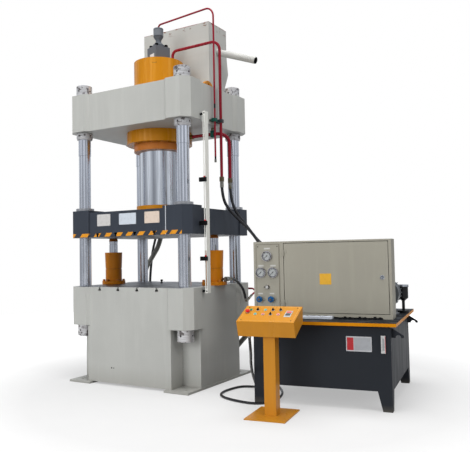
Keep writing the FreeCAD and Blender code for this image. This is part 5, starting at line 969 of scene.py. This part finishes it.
FLOOR_ROUGHNESS = 0.7
floor_finish, tree, shader, where = start("pale_floor", FLOOR_ROUGHNESS, shine=0.1)
MIDDLE, SHADE_END, GLOW_START = (1.1, 0, 0), 2.2, 5.2
away = reckon("LENGTH", reckon("SUBTRACT", where, MIDDLE, kind="VectorMath"), kind="VectorMath")
coat(shader, tint((0.38, 0.38, 0.38, 1), (0.40, 0.40, 0.40, 1), cloud(where, 3.0, 3.0)),
     FLOOR_ROUGHNESS)
shader.inputs["Emission Color"].default_value = (1, 1, 1, 1)
glow = spread(away, SHADE_END, GLOW_START, 0.42, 1.0)
feed(shader.inputs["Emission Strength"], both(glow, seen(tree)))
FLOOR_RADIUS = 9.0
floor = meshed("floor", turn(bmesh.new(), [(FLOOR_RADIUS, 0), (FLOOR_RADIUS / 2, 0), (0, 0)], 96),
               floor_finish)

for name, place, target, size, power in (
        ("key", (-2.0, -16.8, 5.0), (0.6, 0, 1.5), 10.0, 1480),
        ("right_fill", (17.0, -6.0, 11.0), (0.8, 0, 2.5), 9.0, 950),
        ("overhead", (0.9, -0.6, 10.5), (0.9, 0, 0), 8.0, 1050)):
    lamp = bpy.data.lights.new(name, "AREA")
    lamp.size = size
    lamp.energy = power
    hung = put(name, lamp)
    hung.location = place
    hung.rotation_euler = (Vector(target) - Vector(place)).to_track_quat("-Z", "Y").to_euler()
    hung.visible_glossy = False

world = bpy.data.worlds.new("studio")
bpy.context.scene.world = world
world.use_nodes = True
tree = world.node_tree
ray = step(tree, "TexCoord").outputs["Generated"]
bearing = reckon("ARCTAN2", along(ray, "Y"), along(ray, "X"))
room = step(tree, "ValToRGB", Fac=spread(bearing, -math.pi, math.pi))
# The studio's walls in metal: a made-up round room, a pale window and a dark pier by turns at
# even steps.
WINDOW, PIER = card(212, 216, 222), card(126, 129, 136)
ROOM_STEPS = 12
WALL_LIGHT = 1.35
walls = room.color_ramp.elements
walls.remove(walls[1])
for number in range(ROOM_STEPS + 1):
    wall = walls.new(number / ROOM_STEPS) if number else walls[0]
    wall.color = deeper(PIER if number % 2 else WINDOW, WALL_LIGHT)
dim_low = spread(along(ray, "Z"), -0.02, 0.12, 0.55, 1.0)
glossy = step(tree, "LightPath").outputs["Is Glossy Ray"]
in_metal = tint((0, 0, 0, 1), room.outputs["Color"], dim_low)
ROOM_LIGHT = 0.30
background = tree.nodes["Background"].inputs
feed(background["Color"], tint((1, 1, 1, 1), in_metal, glossy))
feed(background["Strength"], spread(seen(tree), 0.0, 1.0, ROOM_LIGHT, 1.0))

camera = bpy.data.cameras.new("camera")
camera.lens = 46.585
camera.sensor_width = 36
camera.clip_end = 100
view_point = put("camera", camera)
view_point.location = (4.26464, -5.62638, 1.38415)
view_point.rotation_mode = "QUATERNION"
view_point.rotation_quaternion = (
    Vector((-0.502579, 0.863320, 0.045741)).to_track_quat("-Z", "Y")
    @ Quaternion((0, 0, 1), -0.018526))
bpy.context.scene.camera = view_point
bpy.context.scene.view_settings.view_transform = "Standard"
